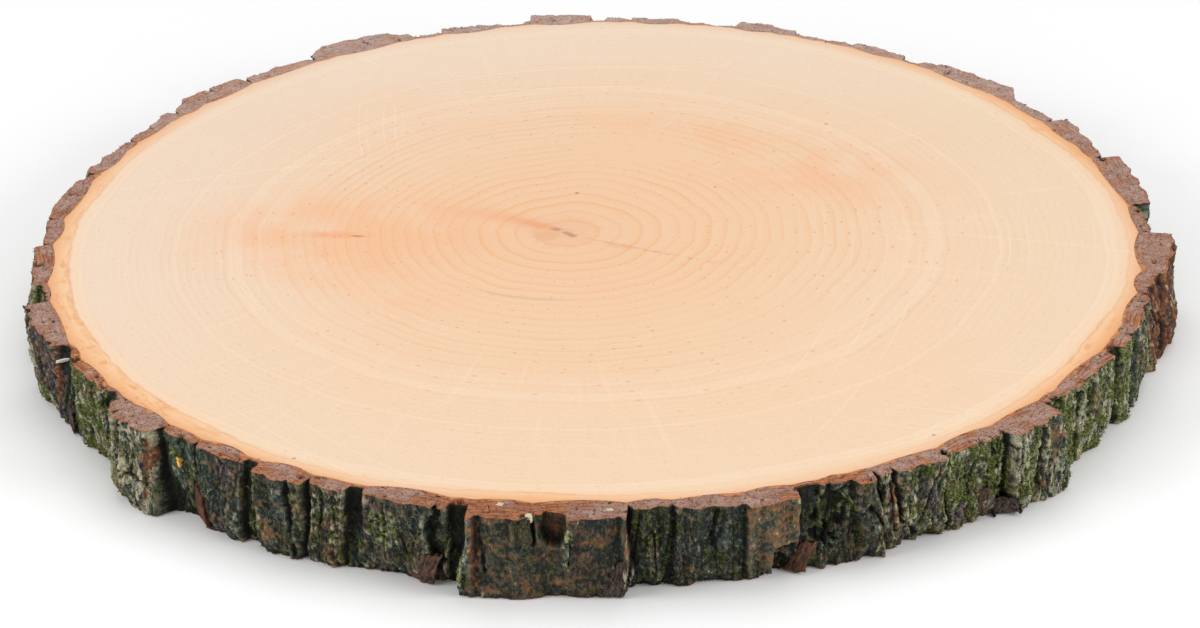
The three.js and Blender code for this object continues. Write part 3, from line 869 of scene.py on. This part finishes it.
    # no further out than the solid's box
    room = np.full(shape, 400.0)
    for way, side in ((np.cos(turns), 0), (np.sin(turns), 1)):
        wall = np.where(way > 0, boxHigh[side], boxLow[side]) - trunkSpot[side]
        room = np.minimum(room, np.abs(wall) / np.maximum(np.abs(way), 1e-6))
    over = np.maximum(radii - room + 0.6, 0)
    radii = np.where(over > 0, room - 0.06 - 0.54 * np.exp(-over / 0.54), radii)
    radii = np.maximum(radii, seam[None, :] + 0.5)

    # how deep in a crack, how proud, how steep
    slope = np.gradient(radii, axis=1) / (barkRadius * np.gradient(np.unwrap(turns)))[None, :]
    envelope = smooth(radii, 9.0, 18.0)
    local = smooth(radii, 2.2, 4.0)
    sunk = np.clip((envelope - radii) / 2.6, 0, 1)
    deep = np.clip((envelope - radii) / 4.5, 0, 1)
    proud = np.clip((radii - local) / 0.5, -1, 1)
    wall = step01(np.abs(slope), 0.9, 2.4)

    # which skin shows where, and where painted shade and painted highlight are laid
    blobs = soft(1.3, 1.8, 4, 32)
    patches = soft(5.5, 5.0, 4, 33)
    strokes = soft(0.9, 5.5, 3, 34)
    mottles = soft(5.6, 2.6, 4, 35)
    skin = {"grit": trait["grit"], "light": trait["light"]}
    # in grit the proud term lightens ridges, partly wear and partly painted highlight, and darkens dips
    # with painted shade
    grit = (0.3 * blobs + 0.4 * small) * trait["grit"] + 0.45 * strokes * furrow
    grit += 0.3 * mottles * (1 - furrow) + 0.25 * proud + 0.15 * (tone - 0.5)
    skin["texture"] = np.clip(trait["light"] + grit, 0, 1)
    skin["hue"] = np.clip(trait["brown"] + 0.8 * patches + 0.4 * (hue - 0.5) + 0.25 * blobs, 0, 1)
    moss = trait["moss"] + 0.75 * strokes + 0.35 * patches + 0.3 * sunk - 0.12 * proud
    skin["moss"] = step01(moss, 0.6, 0.85)
    lichen = trait["lichen"] - 0.8 * patches + 0.6 * strokes + 0.4 * blobs + 0.16 * proud
    skin["lichen"] = step01(lichen, 0.66, 0.95)
    skin["rust"] = step01(trait["rust"] + 0.75 * mottles + 0.5 * small + 0.35 * blobs, 0.42, 1.1)
    skin["crust"] = step01(trait["crust"] + 0.6 * wide + 0.4 * blobs, 0.5, 0.75)
    raw = trait["raw"] + 0.55 * wall * (1 - trait["shade"]) - 0.35 * trait["moss"]
    raw += 0.35 * strokes + 0.35 * patches
    skin["raw"] = step01(raw, 0.45, 0.75)
    # dark is painted shade: near black laid into cracks, dips, gaps and flake edges, deeper where the
    # face sinks
    paintedShade = 0.75 * sunk + 0.5 * trait["shade"] - 0.25 + 0.3 * blobs
    paintedShade = paintedShade + 0.3 * (1 - step01(flakeEdge, 0.0, 0.14)) + 0.5 * lines * furrow
    skin["dark"] = np.clip(step01(paintedShade, 0.0, 0.75) + 0.7 * deep + np.clip(-proud, 0, 1) * 0.45, 0, 1)
    skin["dark"] *= 1 - 0.65 * broken
    # pale lightens the proud ridges: partly worn bark and partly painted highlight
    pale = np.clip(0.55 * proud + 0.5 * small + 0.15 * (tone - 0.5), 0, 1)
    skin["pale"] = pale * (0.25 + 0.75 * trait["bumps"])
    return turns, heights, radii, seam, skin


def shapeTop(turns, radial, heightOfNoise):
    # the sawn face's own small pits and torn grain, as a drop in mm and a painted shade that darkens
    # where the face drops
    points = onTrunk(turns, np.full(len(turns), heightOfNoise), radial)
    grain = fuzz(points, 1.1, 1.1, 3, 41)
    drop = 0.16 * np.clip(grain, 0, 1) + 0.5 * step01(fuzz(points, 2.0, 2.0, 3, 42), 0.34, 0.55)
    dark = step01(drop, 0.25, 0.6) * 0.8
    if heightOfNoise > 0:
        degrees = np.degrees(turns)
        for angle, radius, halfWide, deep in topPits:
            across = angleFrom(degrees, angle) * pi / 180 * radius * 0.75
            away = np.hypot(across, radial - radius) / halfWide + grain * 0.7
            pit = 1 - step01(away, 0.55, 1.1)
            drop = drop + deep * pit
            dark = np.maximum(dark, pit)
    return drop, dark


def layRows(turns, heights, radii, seam, skin):
    # the whole cross-section for every column: sawn top, outer face, underside
    columns = len(turns)
    top, face, foot = barkRing["topRows"], barkRing["faceRows"], barkRing["footRows"]
    section = top + face + foot
    radial = np.zeros((columns, section))
    level = np.zeros((columns, section))
    names = list(skin) + ["sawn", "toFace", "inBark", "warmth"]
    worn = {name: np.zeros((columns, section)) for name in names}

    def sawnRow(row, share, edge, sideOfNoise):
        lip = radii[edge] - 0.16
        radial[:, row] = seam + (lip - seam) * share
        drop, dark = shapeTop(turns, radial[:, row], sideOfNoise)
        worn["sawn"][:, row] = 1
        worn["toFace"][:, row] = lip - radial[:, row]
        worn["inBark"][:, row] = radial[:, row] - seam
        worn["warmth"][:, row] = warmth
        for name in ("dark", "rust", "raw"):
            worn[name][:, row] = skin[name][edge]
        # painted shade on the sawn face: the pits' own, and the outer face's carried in towards the lip
        worn["dark"][:, row] = np.maximum(skin["dark"][edge] * share * 0.8, dark)
        return drop

    warmth = np.interp(np.degrees(turns), *zip(*topWarmth), period=360)
    crumble = np.clip(fuzz(onTrunk(turns, np.full(columns, 31.0)), 2.2, 3, 3, 21) + 0.1, 0, 1)
    for j in range(top):
        share = (j / (top - 1)) ** 0.85
        drop = sawnRow(j, share, 0, 61.0)
        if j == top - 1:
            drop = drop + 0.25 * crumble
        level[:, j] = sliceTop - 0.05 - drop * (0.3 if j == 0 else 1.0)
    for j in range(face):
        radial[:, top + j] = radii[j]
        level[:, top + j] = heights[j]
        worn["inBark"][:, top + j] = radii[j] - seam
        for name in skin:
            worn[name][:, top + j] = skin[name][j]
    level[:, top] = np.minimum(level[:, top], level[:, top - 1] - 0.02)
    for j in range(foot):
        sawnRow(top + face + j, 1 - j / (foot - 1), -1, -61.0)
    return radial, level, worn


def makeSection(turns, radial, level, worn, first, last):
    # a flat grid, bent round into a stretch of the ring, long edges sewn together, ends closed
    total = len(turns)
    columns = (last - first) % total + 1
    section = radial.shape[1]
    clearSelection()
    bpy.ops.mesh.primitive_grid_add(x_subdivisions=columns - 1, y_subdivisions=section, size=1.0)
    piece = bpy.context.object
    mesh = piece.data
    flat = np.empty(len(mesh.vertices) * 3)
    mesh.vertices.foreach_get("co", flat)
    flat = flat.reshape(-1, 3)
    column = (np.rint((flat[:, 0] + 0.5) * (columns - 1)).astype(int) + first) % total
    row = np.rint((flat[:, 1] + 0.5) * section).astype(int) % section
    turn = turns[column]
    spots = np.empty((len(flat), 3))
    spots[:, 0] = (trunkSpot[0] + radial[column, row] * np.cos(turn)) * mm
    spots[:, 1] = (trunkSpot[1] + radial[column, row] * np.sin(turn)) * mm
    spots[:, 2] = level[column, row] * mm
    mesh.vertices.foreach_set("co", spots.ravel())
    mesh.update()
    for name, values in worn.items():
        wear(mesh, name, values[column, row])
    bpy.ops.object.mode_set(mode="EDIT")
    bpy.ops.mesh.select_all(action="SELECT")
    bpy.ops.mesh.remove_doubles(threshold=1e-7)
    bpy.ops.mesh.fill_holes(sides=0)
    bpy.ops.mesh.select_all(action="SELECT")
    bpy.ops.mesh.normals_make_consistent(inside=False)
    bpy.ops.object.mode_set(mode="OBJECT")
    bpy.ops.object.shade_smooth_by_angle(angle=radians(50))
    return piece


def barkFinish():
    f = Finish("crackedBark")
    spot = f.place()
    x, y, _ = f.parts(spot)
    fine = f.cloud(f.stretch(spot, 1.0, 1.0, 0.55), 1.5, 3.0, 0.7, flat=False)
    speckle = f.cloud(spot, 3.6, 2.0, 0.7, flat=False)
    fleck, luck, shade = f.cells(f.stretch(spot, 1.0, 1.0, 0.6), 1.35, flat=False)
    sawn = f.worn("sawn")
    grit = f.worn("grit")
    texture = (f.worn("texture") + ((fine - 0.5) * 2.0 + (speckle - 0.5) * 1.7) * grit).clamp()

    # outer face: dark grey-green or olive, browner by patches
    teal = f.mix(texture, (14, 22, 19), (92, 110, 98))
    olive = f.mix(texture, (24, 21, 14), (118, 104, 70))
    coat = Coat(f, f.mix(f.worn("hue"), teal, olive))
    for name, share, dark, light in (
        ("rust", 0.8, (44, 33, 23), (148, 98, 56)),
        ("crust", 0.85, (28, 22, 24), (104, 90, 90)),
        ("raw", 1.0, (40, 23, 17), (140, 82, 48)),
    ):
        coat.over(f.worn(name) * share, f.mix(texture, dark, light))
    # lichen, in grains of cream and grey-green
    lichenMask = (f.worn("lichen") * 1.05 + (speckle - 0.5) * 2.8 + (fine - 0.5) * 1.8).ramp(0.42, 0.78)
    lichenColour = f.mix(f.worn("hue"), (150, 162, 156), (174, 162, 122))
    lichenColour = f.mix(shade, lichenColour, (226, 210, 164))
    coat.over(lichenMask * 0.85, f.mix(texture * 0.85, (66, 66, 50), lichenColour))
    # moss, from nearly black to yellow-green, its pale yellow-green specks painted highlights
    mossMask = (f.worn("moss") * 1.3 + (fine - 0.5) * 1.2).ramp(0.35, 0.75)
    mossColour = f.mix(texture, (17, 25, 11), (98, 110, 48))
    mossColour = f.mix(speckle.ramp(0.56, 0.7) * shade, mossColour, (152, 158, 96))
    coat.over(mossMask * 0.92, mossColour)
    # scattered grains, pale or rusty
    grainMask = fleck.ramp(0.36, 0.16) * luck.ramp(0.66, 0.74) * (f.worn("lichen") * 0.7 + grit * 0.22)
    grainColour = f.mix(shade.ramp(0.5, 0.56), (170, 174, 150), (150, 100, 62))
    coat.over(grainMask * 0.7, grainColour)
    # pale ridges, partly worn bark and partly painted highlight, and painted shade, near black, in the
    # hollows, cracks and gaps
    pale = (f.worn("pale") + (fine - 0.5) * 0.8).ramp(0.25, 0.9)
    coat.over(pale * (f.worn("texture") * 0.5 + 0.06), 176, 168, 138)
    dark = f.worn("dark")
    paintedShade = (dark + (fine - 0.5) * 0.5).ramp(0.12, 0.95)
    coat.over(paintedShade * 0.9, 9, 10, 7)

    # sawn face: mauve brown, pored, rusty towards both its edges
    toFace, inBark = f.worn("toFace"), f.worn("inBark")
    cut = f.cloud(spot, 0.3, 3.0, 0.7, flat=False)
    turn = (y - trunkSpot[1]).maths("ARCTAN2", x - trunkSpot[0])
    layers = f.cloud(f.vector(turn * 20.0, inBark * 1.5, 0.0), 1.0, 3.0, 0.65)
    cutCoat = Coat(f, f.mix(cut.ramp(0.34, 0.66), (156, 116, 98), (184, 150, 134)))
    cutCoat.over(layers.ramp(0.48, 0.66) * 0.45, 136, 92, 74)
    cutCoat.over(speckle.ramp(0.5, 0.7) * 0.6, 210, 184, 170)
    cutCoat.over(fine.ramp(0.5, 0.3) * 0.75, 96, 60, 46)
    edgeNear = (toFace + (cut - 0.5) * 3.6).ramp(1.3, 0.0)
    cutCoat.over(edgeNear * 0.6, 172, 104, 66)
    seamNear = (inBark + (cut - 0.5) * 3.0).ramp(1.5, 0.0)
    cutCoat.over(seamNear * 0.65, 134, 78, 54)
    warm = f.cloud(spot, 0.11, 2.0, flat=False) + (layers - 0.5) * 0.3
    warm = (warm + f.worn("warmth") * 0.3).ramp(0.6, 0.8)
    warmColour = f.mix(layers.ramp(0.35, 0.65), (196, 120, 62), (132, 70, 38))
    cutCoat.over((warm * 0.9 + f.worn("raw") * 0.2).clamp() * 0.85, warmColour)
    cutCoat.over(y.ramp(0.0, 150.0) * 0.34, 216, 196, 188)
    cutCoat.over(y.ramp(-140.0, -164.0) * 0.16, 92, 58, 44)
    pore = fleck.ramp(0.4, 0.2) * luck.ramp(0.4, 0.5)
    cutCoat.over(pore * 0.7, 66, 42, 34)
    # tongues of orange wood that reach into the bark
    tongue = inBark - 0.2 + (cut - 0.5) * 9.0 + (fine - 0.5) * 1.5
    tongue = tongue.ramp(0.3, -0.3) * inBark.ramp(3.4, 1.6)
    cutCoat.over(tongue * 0.85, f.mix(layers, (230, 166, 108), (176, 104, 60)))
    # painted shade, near black, in the sawn face's pits and towards its rim
    cutCoat.over((dark + (fine - 0.5) * 0.4).ramp(0.35, 0.85) * 0.85, 38, 24, 18)
    coat.over(sawn.ramp(0.35, 0.65), cutCoat.colour)

    rough = 0.8 + mossMask * 0.14 - sawn * 0.04
    height = fine * 0.6 + speckle * 0.4 - pore * sawn * 0.5
    return f.close(coat.colour, rough, height, 0.45, specular=0.3)


print("bark")
barkTurns, barkHeights, barkRadii, barkSeam, barkSkin = shapeBark()
barkMaterial = barkFinish()


def makeBark():
    radial, level, worn = layRows(barkTurns, barkHeights, barkRadii, barkSeam, barkSkin)
    middle = barkRadii[len(barkHeights) // 2]
    degrees = np.degrees(barkTurns)

    def parting(angle):
        # the deepest column of that crack
        near = np.where(np.abs(angleFrom(degrees, angle)) < 0.7)[0]
        return int(near[np.argmin(middle[near])])

    for name, start, end in barkSections:
        piece = makeSection(barkTurns, radial, level, worn, parting(start), parting(end))
        finishPiece(piece, name, barkMaterial)
        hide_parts("bark")


makeBark()


# Loose bark, lumps, moss tufts, lichen grains and flakes on the bark's face
# Slabs of loose bark: name, thickness in mm, how raw and how crusty they look, and their corners,
# which run round from the lower left: angle, height, how proud.
looseSlabs = (
    (
        "slabByBlock", 1.3, 0.55, 0.6,
        (253.1, 1.4, 0.5), (255.3, 0.2, 3.0), (256.3, 9.6, 3.0), (254.3, 8.8, 0.5),
    ),
    (
        "slabUnderKnot", 1.4, 0.8, 0.4,
        (287.7, 0.6, 1.2), (289.1, 0.8, 1.9), (290.5, 8.2, 2.2), (289.0, 9.2, 1.2),
    ),
    (
        "slabInGap", 1.0, 1.0, 0.0,
        (230.0, 3.0, 0.4), (232.2, 0.9, 1.4), (231.9, 10.6, 0.9), (230.5, 11.8, 0.3),
    ),
    (
        "slabAtLeft", 1.2, 0.2, 0.95,
        (207.5, 0.4, 0.4), (209.4, 0.4, 1.6), (208.9, 8.0, 1.0), (207.6, 7.2, 0.4),
    ),
    (
        "slabInMoss", 1.2, 0.45, 0.8,
        (308.3, 2.6, 0.2), (309.4, 1.2, 1.4), (309.8, 9.0, 0.9), (308.6, 10.6, 0.2),
    ),
    (
        "slabRound", 1.6, 0.15, 1.0,
        (310.0, 0.4, 0.4), (312.3, 0.6, 1.2), (312.2, 4.8, 1.0), (310.7, 5.2, 0.6),
    ),
    (
        "crustLow", 1.6, 0.1, 1.0,
        (270.6, 0.3, 0.2), (272.6, 0.3, 1.0), (272.6, 6.4, 0.9), (271.0, 5.2, 0.2),
    ),
    (
        "crustHigh", 1.4, 0.2, 1.0,
        (271.2, 4.2, 0.5), (272.7, 3.8, 1.0), (272.6, 11.6, 0.6), (271.9, 10.4, 0.3),
    ),
    (
        "slabBack", 1.2, 0.7, 0.5,
        (98.0, 2.0, 0.4), (100.0, 1.4, 1.2), (99.6, 12.0, 1.0), (98.2, 11.0, 0.2),
    ),
    (
        "slabFar", 1.2, 0.8, 0.4,
        (36.2, 1.0, 0.3), (37.9, 1.4, 1.2), (37.6, 9.0, 0.8), (36.4, 10.0, 0.2),
    ),
)
# Small lumps: angle, height, how far out their middle stands, half sizes (across, up, out), tilt.
lumps = {
    "barkStub": (264.0, 20.1, -0.9, (1.35, 3.8, 2.9), 4),
    "creamCap": (264.3, 23.2, -3.0, (0.85, 0.9, 1.2), 20),
    "whiteSplinter": (207.4, 20.6, -1.9, (0.4, 0.34, 2.0), 0),
    "yellowBitTop": (209.0, 23.2, 0.2, (0.9, 0.6, 0.5), 40),
    "yellowBitLow": (208.6, 21.6, 0.6, (0.4, 0.9, 0.4), -20),
    "yellowBitGap": (228.7, 17.9, 0.6, (1.7, 0.4, 0.5), -20),
    "yellowBitGapLow": (229.2, 16.8, 0.6, (0.5, 0.8, 0.4), 30),
    "creamBitLeft": (261.2, 23.5, -7.6, (1.5, 0.4, 0.9), 10),
    "creamBitRight": (271.4, 23.5, -4.6, (1.3, 0.4, 0.8), -8),
}
growths = {
    "tufts": 5200,  # of each green
    "grains": 650,  # of each pale tone
    "flakes": 90,  # of each brown
}
slabCells = 34


def faceRadius(angle, height):
    # the bark's outer face near that spot, in mm, without its smallest dips
    away = np.abs(angleFrom(np.degrees(barkTurns), angle))
    row = int(np.argmin(np.abs(barkHeights - height)))
    near = barkRadii[max(row - 4, 0) : row + 5][:, away < 0.35]
    return float(np.percentile(near, 75))


def facePoint(angle, height, radius):
    x = trunkSpot[0] + radius * cos(radians(angle))
    y = trunkSpot[1] + radius * sin(radians(angle))
    return Vector((x, y, height)) * mm


def makeSlab(name, thick, raw, crust, *corners):
    # a grid laid between the four corners, its outline ragged, then given thickness
    clearSelection()
    bpy.ops.mesh.primitive_grid_add(x_subdivisions=slabCells, y_subdivisions=slabCells, size=1.0)
    piece = bpy.context.object
    mesh = piece.data
    a, b, c, d = [facePoint(g, h, faceRadius(g, h) + p) for g, h, p in corners]
    outward = (b - a).cross(d - a).normalized()
    seed = Vector((corners[0][0], thick * 7.0, 0.0))
    textures, edgeWear = [], []
    for vertex in mesh.vertices:
        u, v = vertex.co.x + 0.5, vertex.co.y + 0.5
        edgeWear.append(max(0.0, 2 * u - 1) ** 3 * (1 - crust * crust))
        rag = noise.fractal(Vector((u * 3.0, v * 3.0, 0)) + seed, 1.0, 2.0, 3)
        rag2 = noise.fractal(Vector((u * 3.0, v * 3.0, 9)) + seed, 1.0, 2.0, 3)
        u += rag * (0.07 + 0.1 * crust) * abs(2 * u - 1) ** 3
        v += rag2 * (0.07 + 0.08 * crust) * abs(2 * v - 1) ** 3
        spot = a.lerp(b, u).lerp(d.lerp(c, u), v)
        curl = (2 * u - 1) ** 2 * 0.35 + (2 * v - 1) ** 4 * 0.3
        rise = noise.fractal(Vector((u * 7.0, v * 3.5, 4)) + seed, 1.0, 2.0, 4)
        spot += outward * (rise * (0.1 + 0.3 * crust * crust) - curl) * mm
        spot.z = max(spot.z, 0.15 * mm)
        vertex.co = spot
        textures.append(0.28 + 0.5 * rise)
    solid = piece.modifiers.new("thickness", "SOLIDIFY")
    solid.thickness = thick * mm
    solid.offset = -1
    wear(mesh, "texture", textures)
    wear(mesh, "rust", edgeWear)
    for key, value in (("raw", raw), ("crust", crust), ("hue", 0.7), ("dark", 0.08), ("grit", 0.5)):
        wear(mesh, key, np.full(len(mesh.vertices), value))
    bpy.ops.object.modifier_apply(modifier=solid.name)
    for vertex in mesh.vertices:
        vertex.co = inBox(vertex.co)
    bpy.ops.object.shade_smooth_by_angle(angle=radians(40))
    finishPiece(piece, name, barkMaterial)


def makeLump(name, angle, height, out, halves, tilt, material, worn):
    # a ball squared up, knobbled, and set on the face
    clearSelection()
    bpy.ops.mesh.primitive_uv_sphere_add(segments=36, ring_count=28, radius=1.0)
    piece = bpy.context.object
    turn, lean = radians(angle), radians(tilt)
    sideways = Vector((-sin(turn), cos(turn), 0))
    outward = Vector((cos(turn), sin(turn), 0))
    across = sideways * cos(lean) + Vector((0, 0, 1)) * sin(lean)
    upward = Vector((0, 0, 1)) * cos(lean) - sideways * sin(lean)
    middle = facePoint(angle, height, faceRadius(angle - 1.6, min(height, 20)) + out)
    knobbles = []
    for vertex in piece.data.vertices:
        x, y, z = (abs(c) ** 0.55 * (1 if c > 0 else -1) for c in vertex.co)
        knob = noise.fractal(vertex.co * 2.6 + Vector((angle, tilt, 0)), 1.0, 2.0, 4)
        grow = 1.0 + 0.34 * knob
        away = across * x * halves[0] + outward * y * halves[2] + upward * z * halves[1]
        vertex.co = inBox(middle + away * grow * mm)
        knobbles.append(knob)
    knobbles = np.array(knobbles)
    for key, value in worn.items():
        wear(piece.data, key, value + 0.4 * knobbles)
    piece.data.flip_normals()  # its three directions are left-handed
    bpy.ops.object.shade_smooth()
    finishPiece(piece, name, material)


def plainFinish(name, colour, rough=0.85):
    return Finish(name).close(tint(*colour), rough, specular=0.3)


def strew(name, colour, spots, ways, sizes, spins):
    # copies of the object just made, one at each spot, its z along the way given there
    piece = bpy.context.object
    shape = np.array([tuple(vertex.co) for vertex in piece.data.vertices])
    copies = piece.modifiers.new("copies", "ARRAY")
    copies.count = len(spots)
    copies.relative_offset_displace = (1.5, 0, 0)
    bpy.ops.object.modifier_apply(modifier=copies.name)
    ways = ways / np.linalg.norm(ways, axis=1, keepdims=True)
    side = np.cross(ways, np.array([0.31, 0.17, 0.93]))
    side /= np.linalg.norm(side, axis=1, keepdims=True)
    other = np.cross(ways, side)
    a = side * np.cos(spins)[:, None] + other * np.sin(spins)[:, None]
    b = np.cross(ways, a)
    grown = shape[None, :, :] * np.stack(sizes, -1)[:, None, :]
    corners = spots[:, None] + grown[..., 0:1] * a[:, None] + grown[..., 1:2] * b[:, None]
    corners = corners + grown[..., 2:3] * ways[:, None]
    corners = np.clip(corners, boxLow + 0.05, boxHigh - 0.04)
    piece.data.vertices.foreach_set("co", (corners * mm).ravel())
    piece.data.update()
    finishPiece(piece, name, plainFinish(name, colour))


def pickSpots(mask, count, draws):
    # points of the face chosen by a mask, and the way that the face looks there
    rows, columns = np.where(mask)
    chosen = draws.integers(0, len(rows), count)
    return faceSpots[rows[chosen], columns[chosen]], faceWays[rows[chosen], columns[chosen]]


def makeGrowths():
    draws = np.random.default_rng(5)
    skin = barkSkin
    greens = (("mossDark", (36, 46, 18)), ("mossGreen", (74, 88, 38)), ("mossBright", (132, 138, 78)))
    count = growths["tufts"]
    for k, (name, colour) in enumerate(greens):
        # brighter tufts keep out of the painted shade, so the tufts' tones are partly the moss's own
        # and partly painted shade
        mask = (skin["moss"] > 0.35 + 0.2 * k) & (skin["dark"] < 0.95 - 0.25 * k)
        mask &= (skin["light"] > (0.0, 0.24, 0.42)[k]) & (skin["grit"] > 0.62)
        spots, ways = pickSpots(mask, count, draws)
        clearSelection()
        bpy.ops.mesh.primitive_cone_add(
            vertices=3, radius1=1.0, radius2=0.0, depth=1.0, location=(0, 0, 0.4)
        )
        bpy.ops.object.transform_apply(location=True, rotation=False, scale=False)
        lean = draws.normal(0, 0.45, (count, 3)) + np.array([0, 0, 0.35])
        wide = draws.uniform(0.1, 0.22, count)
        tall = draws.uniform(0.35, 1.1, count)
        spins = draws.uniform(0, 6.3, count)
        strew(name, colour, spots, ways + lean, (wide, wide, tall), spins)
    pales = (("lichenCream", (164, 158, 128)), ("lichenGrey", (118, 126, 108)))
    count = growths["grains"]
    for name, colour in pales:
        spots, ways = pickSpots((skin["lichen"] > 0.45) & (skin["dark"] < 0.6), count, draws)
        clearSelection()
        bpy.ops.mesh.primitive_ico_sphere_add(subdivisions=1, radius=1.0)
        wide = draws.uniform(0.14, 0.34, count)
        long = wide * draws.uniform(0.6, 1.5, count)
        spins = draws.uniform(0, 6.3, count)
        strew(name, colour, spots, ways, (wide, long, wide * 0.5), spins)
    browns = (("flakesDark", (56, 42, 35)), ("flakesTan", (104, 76, 54)))
    count = growths["flakes"]
    for name, colour in browns:
        mask = (skin["raw"] + skin["crust"] > 0.6) & (skin["dark"] < 0.7)
        spots, ways = pickSpots(mask, count, draws)
        clearSelection()
        bpy.ops.mesh.primitive_cylinder_add(vertices=9, radius=1.0, depth=0.5)
        for vertex in bpy.context.object.data.vertices:
            shrink = 0.7 + 0.45 * noise.random()
            vertex.co.x *= shrink
            vertex.co.y *= shrink
        wide = draws.uniform(0.25, 0.55, count)
        long = wide * draws.uniform(1.2, 2.6, count)
        lean = draws.normal(0, 0.3, (count, 3))
        spins = draws.uniform(-0.4, 0.4, count)
        strew(name, colour, spots, ways + lean, (wide, long, wide * 0.6), spins)


print("loose pieces")
for slab in looseSlabs:
    makeSlab(*slab)
stubSkin = {"texture": 0.3, "hue": 0.8, "moss": 0.3, "lichen": 0.1, "dark": 0.4, "grit": 1.0}
bareWood = {
    "white": plainFinish("whiteWood", (228, 228, 218), 0.6),
    "yellow": plainFinish("yellowWood", (222, 168, 80), 0.6),
    "cream": plainFinish("creamBark", (206, 194, 168), 0.8),
}
for lumpName, (angle, height, out, halves, tilt) in lumps.items():
    bare = [finish for word, finish in bareWood.items() if lumpName.startswith(word)]
    worn = {} if bare else stubSkin
    makeLump(lumpName, angle, height, out, halves, tilt, (bare + [barkMaterial])[0], worn)
noise.seed_set(7)
radial3 = barkRadii[..., None]
aroundWay = np.stack([np.cos(barkTurns), np.sin(barkTurns), np.zeros(len(barkTurns))], -1)[None]
faceSpots = radial3 * aroundWay + np.array([trunkSpot[0], trunkSpot[1], 0.0])
faceSpots[..., 2] = barkHeights[:, None]
faceWays = np.cross(np.gradient(faceSpots, axis=1), -np.gradient(faceSpots, axis=0))
faceWays /= np.linalg.norm(faceWays, axis=-1, keepdims=True)
makeGrowths()


# Floor, lights and camera
stageSetup = {
    "target": (-1.48, -29.39, 11.5),
    "distance": 941.8,
    "elevation": 27.158,
    "lens": 100.0,
    "sideLight": 10.5,
    "topLight": 5.6,
    "sky": 0.47,
}


def makeStage():
    clearSelection()
    bpy.ops.mesh.primitive_plane_add(size=8.0, location=(0, 0, -0.0002))
    floor = bpy.context.object
    floor.name = "floor"
    f = Finish("paleFloor")
    floor.data.materials.append(f.close(tint(252, 252, 252), 0.6, specular=0.2))
    lights = (
        ("leftSoft", (-1.2, -0.6, 0.6), 0.8, stageSetup["sideLight"]),
        ("rightSoft", (1.2, -0.6, 0.6), 0.8, stageSetup["sideLight"]),
        ("topSoft", (0.0, 0.3, 1.3), 1.2, stageSetup["topLight"]),
    )
    for name, place, size, power in lights:
        data = bpy.data.lights.new(name, "AREA")
        data.shape = "DISK"
        data.size = size
        data.energy = power
        lamp = bpy.data.objects.new(name, data)
        lamp.location = place
        lamp.rotation_euler = (-Vector(place)).to_track_quat("-Z", "Y").to_euler()
        bpy.context.scene.collection.objects.link(lamp)
    world = bpy.data.worlds.new("studio")
    world.use_nodes = True
    background = world.node_tree.nodes["Background"]
    background.inputs["Color"].default_value = (1.0, 1.0, 1.0, 1.0)
    background.inputs["Strength"].default_value = stageSetup["sky"]
    bpy.context.scene.world = world
    bpy.context.scene.view_settings.view_transform = "Standard"


def makeCamera():
    lift = radians(stageSetup["elevation"])
    back = Vector((0, -cos(lift), sin(lift)))
    camera = bpy.data.cameras.new("camera")
    camera.lens = stageSetup["lens"]
    camera.sensor_width = 36.0
    camera.clip_start = 0.05
    holder = bpy.data.objects.new("camera", camera)
    holder.location = (Vector(stageSetup["target"]) + back * stageSetup["distance"]) * mm
    holder.rotation_euler = (pi / 2 - lift, 0, 0)
    bpy.context.scene.collection.objects.link(holder)
    bpy.context.scene.camera = holder


print("stage")
makeStage()
makeCamera()
